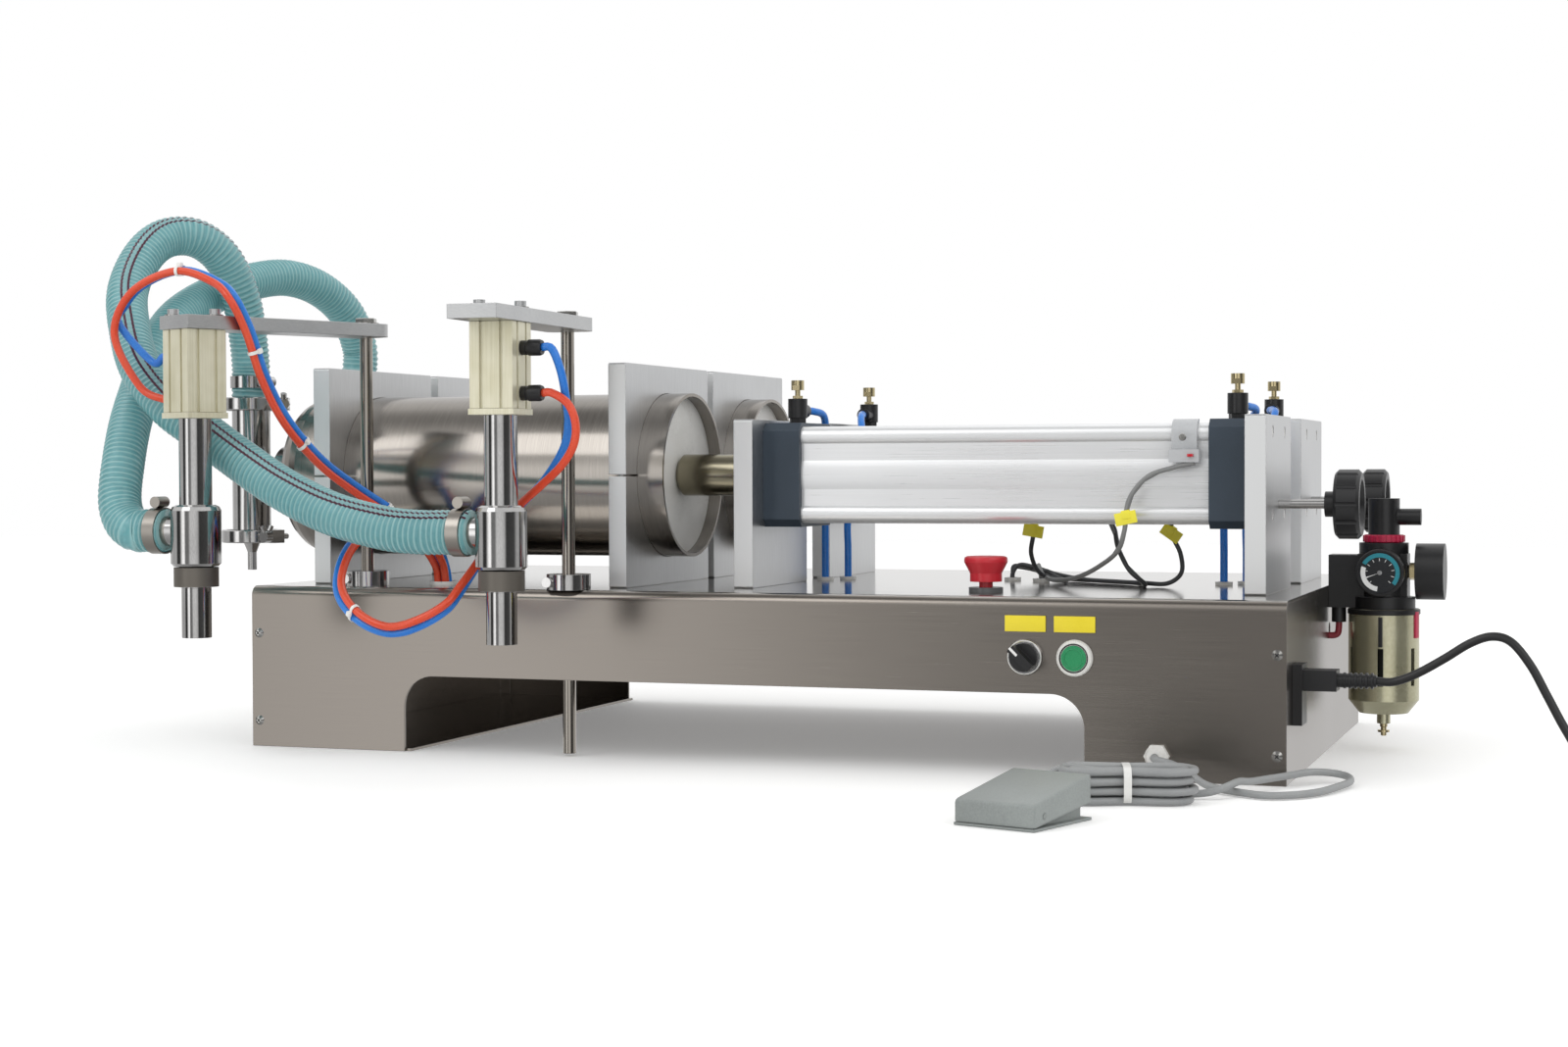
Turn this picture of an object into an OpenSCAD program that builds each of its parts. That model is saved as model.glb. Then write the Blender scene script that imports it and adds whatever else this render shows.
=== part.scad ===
// Piston filling machine: a folded frame carries two product cylinders, the air
// cylinders that drive them, two nozzles on posts, and a foot pedal.
// X runs along the machine from the nozzles to the filter, Y from front to back, Z up.

/* [Frame] */
// Distance from the last cylinder plate to the frame's right end
end_space = 28; // [20:1:60]
// Depth of the frame, front to back
frame_width = 524; // [520:2:580]
// Height of the deck above the bench
frame_height = 150; // [140:2:180]
// Thickness of the folded sheet
sheet = 2.5; // [2:0.5:3]
// Outside radius of the deck's long edges
edge_radius = 9; // [8:1:14]
// Length of the leg under the nozzles
left_leg = 160; // [130:5:180]
// Length of the leg under the controls
right_leg = 166; // [156:2:200]
// Height of the arch between the legs
arch_height = 69.5; // [40:0.5:80]
// Corner radius of the arch
arch_radius = 29; // [10:1:38]

/* [Product cylinders] */
// Outside diameter of the product cylinder
tube_od = 154; // [140:1:158]
// Wall of the product cylinder
tube_wall = 3; // [2:0.5:4]
// Length of the product cylinder
tube_length = 377; // [340:1:440]
// Distance between the two cylinder axes
axis_spacing = 220.6; // [212:0.2:230]
// Distance of the front cylinder axis from the frame's front
front_axis = 154; // [140:1:165]
// Height of the cylinder axes above the deck
axis_rise = 102.5; // [100:0.5:110]
// Width and height of the plates that hold the product cylinders
saddle_size = 205; // [196:1:210]
// Thickness of those plates
saddle_thick = 17; // [12:1:20]
// Distance of the first plate from the frame's left end
saddle_inset = 37.4; // [30:0.2:45]
// How far the product cylinder reaches past the second plate
tube_overhang = 25.4; // [20:0.2:30]
// Thickness of the white piston
piston_thick = 40; // [30:1:50]

/* [Air cylinders] */
// Bore of the air cylinder
air_bore = 80; // [74:1:81]
// Length of the extruded barrel
barrel_length = 372; // [330:1:440]
// Width of the square end caps
cap_size = 95; // [92:1:100]
// Length of an end cap
cap_length = 35; // [30:1:38]
// Diameter of the piston rod
rod_d = 25; // [20:1:25]
// Width of the plates that hold the air cylinders
air_plate_width = 151; // [130:1:170]
// Thickness of those plates
air_plate_thick = 18; // [14:1:20]
// Distance from the second product plate to the first air plate
coupling_space = 94.4; // [92:0.2:100]
// Diameter of the handwheels that set the stroke
wheel_d = 60; // [50:1:66]

/* [Nozzles] */
// Diameter of the posts
post_d = 12; // [10:1:14]
// Length of the arms
arm_length = 220; // [210:1:230]
// Width of the arms
arm_width = 44; // [40:1:48]
// Thickness of the arms
arm_thick = 12; // [8:1:14]
// Height of the arms' undersides above the deck
arm_rise = 232; // [226:1:240]
// Width of the square nozzle actuators
actuator_size = 39; // [37:1:42]
// Length of the actuators with their end plate
actuator_length = 78; // [72:1:82]
// Diameter of the nozzle body
nozzle_d = 44; // [42:1:50]
// Diameter of the nozzle tip
tip_d = 26; // [24:1:28]

/* [Hoses] */
// Outside diameter of the ribbed product hose
hose_d = 38.5; // [36:0.5:40]
// Wall of the product hose
hose_wall = 4.2; // [3.5:0.1:5]
// Diameter of the air tubes
air_tube_d = 6; // [5:0.5:7]

/* [Pedal] */
// Width of the foot pedal
pedal_width = 68; // [60:1:80]
// Length of the foot pedal
pedal_length = 80; // [78:1:100]
// Diameter of the pedal cable
pedal_cable_d = 6; // [5:0.5:6]

/* [Hidden] */
$fn = 48;

// Place of the part's origin, under the middle of the machine and its pedal
origin_x = 454.97;
origin_y = 109.62;

// Overrun of every cut, and the clearances between pieces
cut = 1;
seat = 0.2;
running = 0.05;
loose = 0.3;
least_radius = 0.5;

// Heights and axes that the pieces share
deck = frame_height;
axis_z = deck + axis_rise;
rear_axis = front_axis + axis_spacing;
axes = [front_axis, rear_axis];
middle_y = (front_axis + rear_axis) / 2;
tube_r = tube_od / 2;
bore_r = tube_r - tube_wall;
air_r = air_bore / 2;

// Places along the machine
tube_start = 8;
tube_end = tube_start + tube_length;
saddle_1 = saddle_inset;
saddle_2 = tube_end - tube_overhang - saddle_thick;
air_plate_1 = saddle_2 + saddle_thick + coupling_space;
left_cap = air_plate_1 + air_plate_thick;
barrel_start = left_cap + cap_length;
right_cap = barrel_start + barrel_length;
air_plate_2 = right_cap + cap_length;
outer_face = air_plate_2 + air_plate_thick;
frame_length = outer_face + end_space;

// Frame details
cover_flange = 15;
foot_lip = 5;
cover_inside = sheet + seat;
cover_width = frame_width - 2 * cover_inside;
cover_height = frame_height - sheet - seat;
cover_radius = max(least_radius, edge_radius - sheet - seat);
screw_r = 2;
screw_head_r = 4.5;
screw_head = 2.2;
screw_inset = 7.5;
screw_low = 24;
screw_high = 106;

// Split plates and their bolts
slit = 2;
plate_chamfer = 1.5;
bolt_r = 4;
bolt_head_r = 6.5;
bolt_head = 8;
bolt_gap = 0.3;
bolt_inset = 12;
bolt_grip = 25;
deck_bolt_grip = 15;

// Air plates and their screws
air_plate_height = axis_rise + air_plate_width / 3;
tie_offset = 36;
tie_r = 3;
tie_head_r = 5;
tie_head = 5;
tie_grip = 20;
rod_pass = 4;

// Barrel profile
lobe_offset = 35;
lobe_r = 9;
barrel_wall = 3;
flat_long = 41;
flat_short = 30;
cap_chamfer = 7;

// Piston train
piston_set_back = 12;
seal_groove = 3;
seal_width = 6;
coupling_r = 19.5;
coupling_length = 62;
coupling_chamfer = 4;
coupling_bore = 30;
spigot_r = 10;
spigot_length = 30;
lock_nut_r = 18;
lock_nut = 12;
air_piston = 20;
air_piston_rest = 45;
piston_face = tube_end - piston_set_back;
air_piston_face = right_cap - air_piston_rest;

// Stroke screws and handwheels
screw_drop = 26.5;
stroke_r = 4;
stroke_reach = 2;
wheel_stand = 40;
wheel_thick = 22;
wheel_hub = 9;
wheel_hub_r = 11;
wheel_edge = 3;
wheel_grips = 12;
wheel_grip_r = 2.5;
wheel_dish = 4;
stroke_z = axis_z - screw_drop;
wheel_x = outer_face + wheel_stand;

// Pipes, ferrules and their clamps
pipe_r = 19;
pipe_bore = 16.5;
ferrule_r = 25.2;
ferrule = 5;
clamp_r = 30;
clamp_width = 13;
clamp_lug = 8;
clamp_bolt_r = 3;
clamp_bolt = 30;
wing_r = 2.5;
wing_span = 12;
wing_turns = [-30, 30];
clamp_turns = [25, -15, 250];
head_reach = 27;
head_small_share = 0.62;
head_steps = 6;
head_plug = 10;
joint_x = -48;
valve_x = -95;
clamp_top = 325;
clamp_low = 192;
tail_top = 362;
barb_step = 0.35;
barb_pitch = 6;
inlet_r = 9;
inlet_tip_r = 4.6;
inlet_bore = 3;
inlet_neck = 16;
inlet_tip = 158;

// Hose bore and the barbs that fill it
rib_sides = 8;
hose_bore_r = hose_d / 2 - hose_wall;
barb_r = hose_bore_r * cos(180 / rib_sides) - loose;

// Flow controls on the caps
flow_stem_r = 4.8;
flow_stem = 8;
flow_hex_r = 8;
flow_hex = 5;
flow_r = 9;
flow_height = 18;
elbow_r = 6.5;
elbow_length = 20;
elbow_rise = 12;
needle_r = 2.5;
needle_depth = 9;
needle_stand = 8;
needle_knob = 9;
needle_knob_r = 6;
needle_neck = 5;

// Posts, arms and nozzles: place and heading of each arm from its post
post_left_x = 104;
post_left_y = 34;
post_right_x = 319;
post_right_y = 15;
nozzle_left_reach = 186;
nozzle_right_reach = 150;
arm_left_end = 21;
arm_right_end = 58;
post_places = [[post_left_x, post_left_y], [post_right_x, post_right_y]];
nozzle_reaches = [nozzle_left_reach, nozzle_right_reach];
arm_ends = [arm_left_end, arm_right_end];
arm_headings = [246, 272.5];
port_headings = [156, 2.5];
port_heights = [322, 360];
port_r = 5;
port_reach = 18;
arm_z = deck + arm_rise;
post_bottoms = [sheet + loose, foot_lip / 2];
post_proud = 3;
arm_corner = 9;
collar_r = 20;
collar_height = 14;
collar_slit = 2;
collar_screw_r = 3;
collar_head_r = 4.8;
arm_bolt_r = 3;
arm_bolt_head_r = 5;
arm_bolt_head = 6;
arm_bolt_offset = 13;
end_plate = 5;
end_plate_lip = 1;
slot_width = 3;
slot_depth = 2;
slot_offset = 9;
actuator_bore = 15;
stem_r = 14.2;
stem_bore = 11;
stem_length = 76;
stem_guide = 8;
shoulder = 5;
body_length = 54;
body_wall = 5;
groove = 1;
union_r = 19.5;
union_length = 17;
union_thread_r = 15;
union_thread = 11;
union_flange = 4;
tip_length = 45;
tip_bore = 10.5;
mouth_r = 9;
mouth = 5;
port_rise = 31;
port_length = 30;
port_bore = 11;
valve_rod_r = 5;
valve_piston = 12;
nozzle_top = arm_z - actuator_length;
body_top = nozzle_top - stem_length;
body_bottom = body_top - body_length;
union_bottom = body_bottom - groove - union_length;
tip_bottom = union_bottom - tip_length;
port_z = body_bottom + port_rise;
hose_clamp_w = 12;
hose_clamp_t = 1;
hose_clamp_set = 9;
worm_r = 5;
worm_length = 16;

// Controls
button_inset = 174;
button_spacing = 42;
button_x = frame_length - button_inset;
button_z = 100;
selector_x = button_x - button_spacing;
bezel_r = 14.5;
bezel = 4.5;
sleeve_r = 11;
sleeve_length = 26;
stem_fit_r = 6;
lens_r = 10.6;
lens = 1.8;
lens_proud = 1.2;
contact_size = 28;
contact_length = 22;
label_width = 33;
label_height = 12;
label_thick = 1;
label_rise = 28;
knob_disc_r = 12;
knob_disc = 4;
knob_bar = 12;
knob_bar_width = 7;
knob_turn = -45;
stop_inset = 271;
stop_x = frame_length - stop_inset;
stop_y = 80;
stop_base_r = 15;
stop_base = 4;
stop_neck_r = 12;
stop_low_r = 14;
stop_top_r = 19;
stop_height = 22;
stop_crown = 2.5;
stop_lift = 5;

// Glands and grommets
gland_inset = 105;
gland_x = frame_length - gland_inset;
gland_z = 21;
gland_r = 10.5;
gland_tip_r = 6.8;
gland_length = 12;
gland_nut = 6;
grommet_r = 8;
grommet = 3;
grommet_lip = 1.5;
wire_d = 4;
left_drop = 10;
right_drop = -11;
drop_step = 18;
drop_row = 256;
drop_row_step = 16;
deck_tube_drops = [
  for (x = [left_cap + left_drop, right_cap + right_drop]) for (j = [0, 1]) [x + j * drop_step, drop_row + j * drop_row_step]
];
wire_drops = [[-220, 295], [-188, 278]];
deck_wire_drops = [for (p = wire_drops) [right_cap + p[0], p[1]]];
deck_drops = concat(deck_tube_drops, deck_wire_drops);
nozzle_tube_drop = [162.6, 73.8];
nozzle_grommet_r = 12.8;

// Sensor
sensor_inset = 32;
sensor_x = right_cap - sensor_inset;
rear_switch_inset = 148;
rear_switch_x = right_cap - rear_switch_inset;
sensor_width = 22;
strap_r = 12.5;
strap_wall = 1.5;
switch_height = 11;
switch_depth = 8;
switch_length = 26;

// Inside the right leg
manifold_inset = 130;
manifold_x = frame_length - manifold_inset;
manifold_y = 190;
manifold_size = [84, 46, 22];
coil_size = [22, 40, 34];
coil_gap = 4;
supply_inset = 148;
supply_x = frame_length - supply_inset;
supply_y = 330;
supply_size = [120, 88, 42];

// Mains inlet and leads
inlet_y = 48;
inlet_z = 46;
inlet_width = 30;
inlet_height = 50;
inlet_proud = 8;
inlet_depth = 24;
plug_z = 83;
plug_width = 24;
plug_height = 17;
plug_length = 31;
plug_recess = 4;
relief_length = 31;
relief_r = 5;
mains_d = 7;

// Filter and regulator
filter_stand = 48;
filter_x = frame_length + filter_stand;
filter_y = 290;
filter_body_low = 129;
filter_body_top = 189;
filter_body_r = 22;
filter_collar = 11;
filter_collar_r = 28;
bowl_r = 31.5;
bowl_low = 34;
bowl_wall = 3;
bowl_foot_r = 22;
bowl_foot = 12;
slot_count = 6;
slot_w = 5;
slot_h = 34;
slot_z = 60;
drain_r = 6;
drain = 10;
bracket_depth = 30;
bracket_low = 130;
bracket_high = 178;
ring_r = 17;
ring_height = 7;
reg_knob_r = 14;
reg_grip_r = 7.5;
reg_grip = 33;
reg_knob_height = 33;
gauge_r = 21;
gauge_depth = 16;
side_gauge_r = 25.5;
side_gauge_depth = 25;
gauge_stem_r = 6;
gauge_z = 163;
stub_length = 7;

// Pedal
pedal_place = [761, -286];
pedal_turn = -18;
pedal_exit = 18;
pedal_plate = 2;
pedal_front_high = 19;
pedal_rear_high = 34;
pedal_skirt_front = 2.6;
pedal_skirt_rear = 13;
pedal_wall = 2.5;
pedal_pin_y = 14;
pedal_pin_z = 10;
pedal_pin_r = 2;
pedal_box_inset = 6;
pedal_box = 14;
pedal_boss_r = 4.8;
pedal_boss_proud = 3;
pedal_press = 7;
pedal_notch = 2 * (pedal_boss_r + cut);
pedal_notch_top = pedal_cable_d + pedal_boss_r + cut + (pedal_length - pedal_pin_y) * sin(pedal_press);

// Helpers
module place() { translate([-origin_x, -origin_y, 0]) children(); }
module rod_x(x, y, z, r, h) { translate([x, y, z]) rotate([0, 90, 0]) cylinder(r = r, h = h); }
module rod_y(x, y, z, r, h) { translate([x, y + h, z]) rotate([90, 0, 0]) cylinder(r = r, h = h); }
module rod_z(x, y, z, r, h) { translate([x, y, z]) cylinder(r = r, h = h); }
module along_x(x, length) { translate([x, 0, 0]) rotate([90, 0, 90]) linear_extrude(length) children(); }
module along_y(y, length) {
  translate([0, y + length, 0]) rotate([90, 0, 0]) linear_extrude(length) children();
}
module turned(x, y, z, points) {
  translate([x, y, z]) rotate([0, 90, 0]) rotate_extrude() polygon(points);
}
module top_round(w, h, r) {
  translate([r, 0]) square([w - 2 * r, h]);
  square([w, h - r]);
  for (x = [r, w - r]) translate([x, h - r]) circle(r);
}
module chamfered(y0, z0, w, h, c) {
  polygon([
    [y0 + c, z0], [y0 + w - c, z0], [y0 + w, z0 + c], [y0 + w, z0 + h - c],
    [y0 + w - c, z0 + h], [y0 + c, z0 + h], [y0, z0 + h - c], [y0, z0 + c]
  ]);
}
module round_bar(w, l, r) {
  translate([0, -w / 2]) square([l - r, w]);
  translate([0, r - w / 2]) square([l, w - 2 * r]);
  for (y = [r - w / 2, w / 2 - r]) translate([l - r, y]) circle(r);
}

// Curves: a smooth line through hand-chosen points, evenly divided, and a tube swept on it
function unit(v) = v / norm(v);
function near(p, i) = p[max(0, min(len(p) - 1, i))];
function blend_at(a, b, c, d, t) =
  b + (c - a) * t / 2 + (2 * a - 5 * b + 4 * c - d) * t * t / 2 + (3 * b - a - 3 * c + d) * t * t * t / 2;
function smooth(p, steps) = [
  for (i = [0 : len(p) - 2]) for (k = [0 : steps - 1])
    blend_at(near(p, i - 1), p[i], p[i + 1], near(p, i + 2), k / steps),
  p[len(p) - 1]
];
function run(c) = [for (i = 0, s = 0; i < len(c); s = s + norm(near(c, i + 1) - c[i]), i = i + 1) s];
function evenly(c, n) =
  let (s = run(c), whole = s[len(s) - 1])
  let (tx = [for (i = [0 : len(c) - 1]) [s[i], c[i][0]]])
  let (ty = [for (i = [0 : len(c) - 1]) [s[i], c[i][1]]])
  let (tz = [for (i = [0 : len(c) - 1]) [s[i], c[i][2]]])
  [for (k = [0 : n]) let (at = whole * k / n) [lookup(at, tx), lookup(at, ty), lookup(at, tz)]];
function heading(c, i) = unit(near(c, i + 1) - near(c, i - 1));
function across(n, t) = unit(n - (n * t) * t);
start_side = [0.3, 0.5, 0.81];
function sides_of(c) = [
  for (i = 0, n = across(start_side, heading(c, 0)); i < len(c);
    i = i + 1, n = across(n, heading(c, min(i, len(c) - 1)))) n
];
function ring_at(p, t, n, r, sides) =
  let (b = cross(t, n)) [for (k = [0 : sides - 1]) p + r * (cos(360 * k / sides) * n + sin(360 * k / sides) * b)];
function tube_points(c, radii, sides) =
  let (n = sides_of(c)) [for (i = [0 : len(c) - 1]) each ring_at(c[i], heading(c, i), n[i], radii[i], sides)];
function wall_faces(rings, sides, from, flip) = [
  for (i = [0 : rings - 2]) for (k = [0 : sides - 1])
    let (a = from + i * sides + k, b = from + i * sides + (k + 1) % sides)
    each (flip ? [[a, b, b + sides], [a, b + sides, a + sides]]
         : [[a, b + sides, b], [a, a + sides, b + sides]])
];
function cap_faces(sides, from, flip) = [
  for (k = [1 : sides - 2]) flip ? [from, from + k + 1, from + k] : [from, from + k, from + k + 1]
];
module tube(c, r, sides = 8) {
  radii = [for (p = c) r];
  polyhedron(
    points = tube_points(c, radii, sides),
    faces = concat(
      wall_faces(len(c), sides, 0, false),
      cap_faces(sides, 0, false),
      cap_faces(sides, (len(c) - 1) * sides, true)
    )
  );
}

function to_run(p, a, b) = let (t = min(1, max(0, (p - a) * (b - a) / ((b - a) * (b - a))))) norm(p - a - t * (b - a));
own_rings = 10;
function least_gap(c, d) = min([
  for (i = [0 : len(c) - 1]) for (j = [i + own_rings : 1 : len(c) - 2]) to_run(c[i], c[j], c[j + 1])
]) - d;

lead_steps = 6;
module lead(route, rings, d) {
  c = evenly(smooth(route, lead_steps), rings);
  last = len(route) - 1;
  tube(concat(
    [c[0], c[0] + d * unit(route[1] - route[0])], [for (i = [1 : rings - 1]) c[i]],
    [c[rings] - d * unit(route[last] - route[last - 1]), c[rings]]
  ), d / 2);
}

// A ribbed hose: an outer wall that rises and falls twice a rib, and a plain bore
rib_depth = 1.1;
end_rings = 9;
bore_step = 8;
module ribbed_hose(route, ribs) {
  outer = evenly(smooth(route, lead_steps), 2 * ribs);
  inner = [
    for (i = [0 : 2 : 2 * ribs])
      if (i < end_rings || i > 2 * ribs - end_rings || i % bore_step == bore_step / 2) outer[i]
  ];
  bore_rings = len(inner) - 1;
  radii = [for (i = [0 : 2 * ribs]) hose_d / 2 - (i % 2 == 0 ? rib_depth : 0)];
  inner_radii = [for (p = inner) hose_bore_r];
  outer_points = tube_points(outer, radii, rib_sides);
  inner_points = tube_points(inner, inner_radii, rib_sides);
  base = len(outer_points);
  last = 2 * ribs * rib_sides;
  bore_last = base + bore_rings * rib_sides;
  rim = [
    for (k = [0 : rib_sides - 1]) let (j = (k + 1) % rib_sides)
      each [
        [k, j, base + j], [k, base + j, base + k],
        [last + k, bore_last + j, last + j], [last + k, bore_last + k, bore_last + j]
      ]
  ];
  polyhedron(
    points = concat(outer_points, inner_points),
    faces = concat(
      wall_faces(2 * ribs + 1, rib_sides, 0, false),
      wall_faces(bore_rings + 1, rib_sides, base, true),
      rim
    )
  );
}

// Frame
module frame_shell() place() color("silver") difference() {
  along_x(0, frame_length) top_round(frame_width, frame_height, edge_radius);
  along_x(-cut, frame_length + 2 * cut) translate([sheet, -cut])
    top_round(frame_width - 2 * sheet, frame_height - sheet + cut, max(least_radius, edge_radius - sheet));
  along_y(-cut, frame_width + 2 * cut) translate([left_leg, -cut])
    top_round(frame_length - left_leg - right_leg, arch_height + cut, arch_radius);
  cover_screws(screw_r + seat, frame_width + 2 * cut, -cut);
  for (p = post_places) rod_z(p[0], p[1], deck - sheet - cut, post_d / 2 + 2 * running, sheet + 2 * cut);
  for (p = deck_holes()) rod_z(p[0], p[1], deck - sheet - cut, p[2], sheet + 2 * cut);
  for (p = deck_bolt_places()) rod_z(p[0], p[1], deck - sheet - cut, bolt_r + bolt_gap, sheet + 2 * cut);
  for (x = [button_x, selector_x]) rod_y(x, -cut, button_z, sleeve_r + seat, sheet + 2 * cut);
  rod_y(gland_x, -cut, gland_z, gland_r / 2 + seat, sheet + 2 * cut);
}
function deck_holes() = concat(
  [[stop_x, stop_y, stop_neck_r + seat]],
  [for (p = deck_drops) [p[0], p[1], grommet_r - grommet_lip]],
  [[nozzle_tube_drop[0], nozzle_tube_drop[1], nozzle_grommet_r - grommet_lip]]
);
function plate_bolts(x, thick, half) = [
  for (y = axes) for (side = [-1, 1]) [x + thick / 2, y + side * half]
];
function deck_bolt_places() = concat(
  [for (x = [saddle_1, saddle_2]) each plate_bolts(x, saddle_thick, saddle_size / 2 - bolt_inset)],
  [for (x = [air_plate_1, air_plate_2]) each plate_bolts(x, air_plate_thick, air_plate_width / 2 - bolt_inset)]
);
module cover_screws(r, length, start) {
  for (x = [screw_inset, frame_length - screw_inset]) for (z = [screw_low, screw_high])
    rod_y(x, start, z, r, length);
}

module end_cover(leg) {
  difference() {
    union() {
      along_x(0, sheet) translate([cover_inside, 0]) top_round(cover_width, cover_height, cover_radius);
      along_x(0, cover_flange) difference() {
        translate([cover_inside, 0]) top_round(cover_width, cover_height, cover_radius);
        translate([cover_inside + sheet, -cut]) top_round(
          cover_width - 2 * sheet, cover_height - sheet + cut, max(least_radius, cover_radius - sheet)
        );
      }
      translate([0, cover_inside, 0]) cube([leg + foot_lip, cover_width, sheet]);
    }
    for (z = [screw_low, screw_high]) rod_y(screw_inset, -cut, z, screw_r + running, frame_width + 2 * cut);
  }
}
module left_end_cover() place() color("silver") end_cover(left_leg);
module right_end_cover() place() color("silver") difference() {
  translate([frame_length, 0, 0]) mirror([1, 0, 0]) end_cover(right_leg);
  translate([frame_length - sheet - cut, inlet_y - inlet_width / 2 + sheet, inlet_z + sheet])
    cube([sheet + 2 * cut, inlet_width - 2 * sheet, inlet_height - 2 * sheet]);
  rod_x(frame_length - sheet - cut, supply_entry[1], supply_entry[2], air_tube_d, sheet + 2 * cut);
}

module pan_screw(x, y, z, out) {
  length = sheet * 3;
  rod_y(x, out < 0 ? y : y - length, z, screw_r, length);
  translate([x, y, z]) rotate([90 * -out, 0, 0]) cylinder(r1 = screw_head_r, r2 = screw_head_r / 2, h = screw_head);
}
module cap_bolt(x, y, top, length, r, head_r, head) {
  rod_z(x, y, top - head, head_r, head);
  rod_z(x, y, top - head - length, r, length + cut);
}
module fasteners() place() color("gray") {
  for (x = [screw_inset, frame_length - screw_inset]) for (z = [screw_low, screw_high]) {
    pan_screw(x, -running, z, -1);
    pan_screw(x, frame_width + running, z, 1);
  }
  for (x = [saddle_1, saddle_2]) for (p = plate_bolts(x, saddle_thick, saddle_size / 2 - bolt_inset))
    cap_bolt(p[0], p[1], deck + saddle_size - bolt_gap, saddle_size - axis_rise - bolt_head + slit + bolt_grip,
      bolt_r, bolt_head_r, bolt_head);
  for (p = deck_bolt_places()) {
    rod_z(p[0], p[1], deck - sheet - running - bolt_head, bolt_head_r, bolt_head);
    rod_z(p[0], p[1], deck - sheet - running - cut, bolt_r, sheet + deck_bolt_grip + cut);
  }
  for (y = axes) for (dy = [-tie_offset, tie_offset]) for (dz = [-tie_offset, tie_offset]) {
    rod_x(outer_face - tie_head - bolt_gap, y + dy, axis_z + dz, tie_head_r, tie_head);
    rod_x(air_plate_2 - tie_grip, y + dy, axis_z + dz, tie_r, tie_grip + air_plate_thick - tie_head);
    rod_x(air_plate_1 + bolt_gap, y + dy, axis_z + dz, tie_head_r, tie_head);
    rod_x(air_plate_1 + tie_head, y + dy, axis_z + dz, tie_r, tie_grip + air_plate_thick - tie_head);
  }
}

// Split plates round the product cylinders
module saddle_blank(x, y) {
  difference() {
    along_x(x, saddle_thick) chamfered(y - saddle_size / 2, deck, saddle_size, saddle_size, plate_chamfer);
    rod_x(x - cut, y, axis_z, tube_r + seat, saddle_thick + 2 * cut);
    for (side = [-1, 1]) {
      by = y + side * (saddle_size / 2 - bolt_inset);
      bx = x + saddle_thick / 2;
      rod_z(bx, by, axis_z - slit - bolt_grip - cut, bolt_r + bolt_gap, saddle_size);
      rod_z(bx, by, deck + saddle_size - bolt_head - 2 * bolt_gap, bolt_head_r + bolt_gap, saddle_size);
      rod_z(bx, by, deck - cut, bolt_r + bolt_gap, deck_bolt_grip + 2 * cut);
    }
  }
}
module cylinder_saddles() place() color("lightgray")
  for (x = [saddle_1, saddle_2]) for (y = axes) intersection() {
    saddle_blank(x, y);
    translate([x - cut, y - saddle_size, deck]) cube([saddle_thick + 2 * cut, 2 * saddle_size, axis_rise - slit / 2]);
  }
module cylinder_clamps() place() color("lightgray")
  for (x = [saddle_1, saddle_2]) for (y = axes) intersection() {
    saddle_blank(x, y);
    translate([x - cut, y - saddle_size, axis_z + slit / 2])
      cube([saddle_thick + 2 * cut, 2 * saddle_size, saddle_size]);
  }

module tie_holes(x, y, r, length) {
  for (dy = [-tie_offset, tie_offset]) for (dz = [-tie_offset, tie_offset])
    rod_x(x, y + dy, axis_z + dz, r, length);
}
module air_plate(x, y, pass, pass_z, head_x) {
  difference() {
    along_x(x, air_plate_thick)
      chamfered(y - air_plate_width / 2, deck, air_plate_width, air_plate_height, plate_chamfer);
    rod_x(x - cut, y, pass_z, pass, air_plate_thick + 2 * cut);
    tie_holes(x - cut, y, tie_r + bolt_gap, air_plate_thick + 2 * cut);
    tie_holes(head_x, y, tie_head_r + bolt_gap, tie_head + bolt_gap + cut);
    for (side = [-1, 1])
      rod_z(x + air_plate_thick / 2, y + side * (air_plate_width / 2 - bolt_inset), deck - cut,
        bolt_r + bolt_gap, deck_bolt_grip + 2 * cut);
  }
}
module air_plates() place() color("lightgray")
  for (y = axes) {
    air_plate(air_plate_1, y, rod_d / 2 + rod_pass, axis_z, air_plate_1 - cut);
    air_plate(air_plate_2, y, stroke_r + running, stroke_z, outer_face - tie_head - bolt_gap);
  }

// Product cylinders
module fill_tubes() place() color("silver")
  for (y = axes) difference() {
    rod_x(tube_start, y, axis_z, tube_r, tube_length);
    rod_x(tube_start - cut, y, axis_z, bore_r, tube_length + 2 * cut);
  }
function dome(r, share, reach, n) = [
  for (i = [0 : n]) let (a = 90 * i / n) [r * share + r * (1 - share) * cos(a), reach * sin(a)]
];
module cylinder_heads() place() color("silver")
  for (y = axes) difference() {
    union() {
      translate([0, y, axis_z]) rotate([0, -90, 0]) rotate_extrude() polygon(concat(
        [[0, head_reach], [0, -tube_start - head_plug], [bore_r - seat, -tube_start - head_plug],
        [bore_r - seat, seat - tube_start], [tube_r, seat - tube_start]],
        dome(tube_r, head_small_share, head_reach, head_steps)
      ));
      rod_x(joint_x + seat, y, axis_z, pipe_r, -joint_x - head_reach + cut);
      rod_x(joint_x + seat, y, axis_z, ferrule_r, ferrule);
    }
    rod_x(joint_x - cut, y, axis_z, pipe_bore, tube_start + head_plug - joint_x + 2 * cut);
  }

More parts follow.
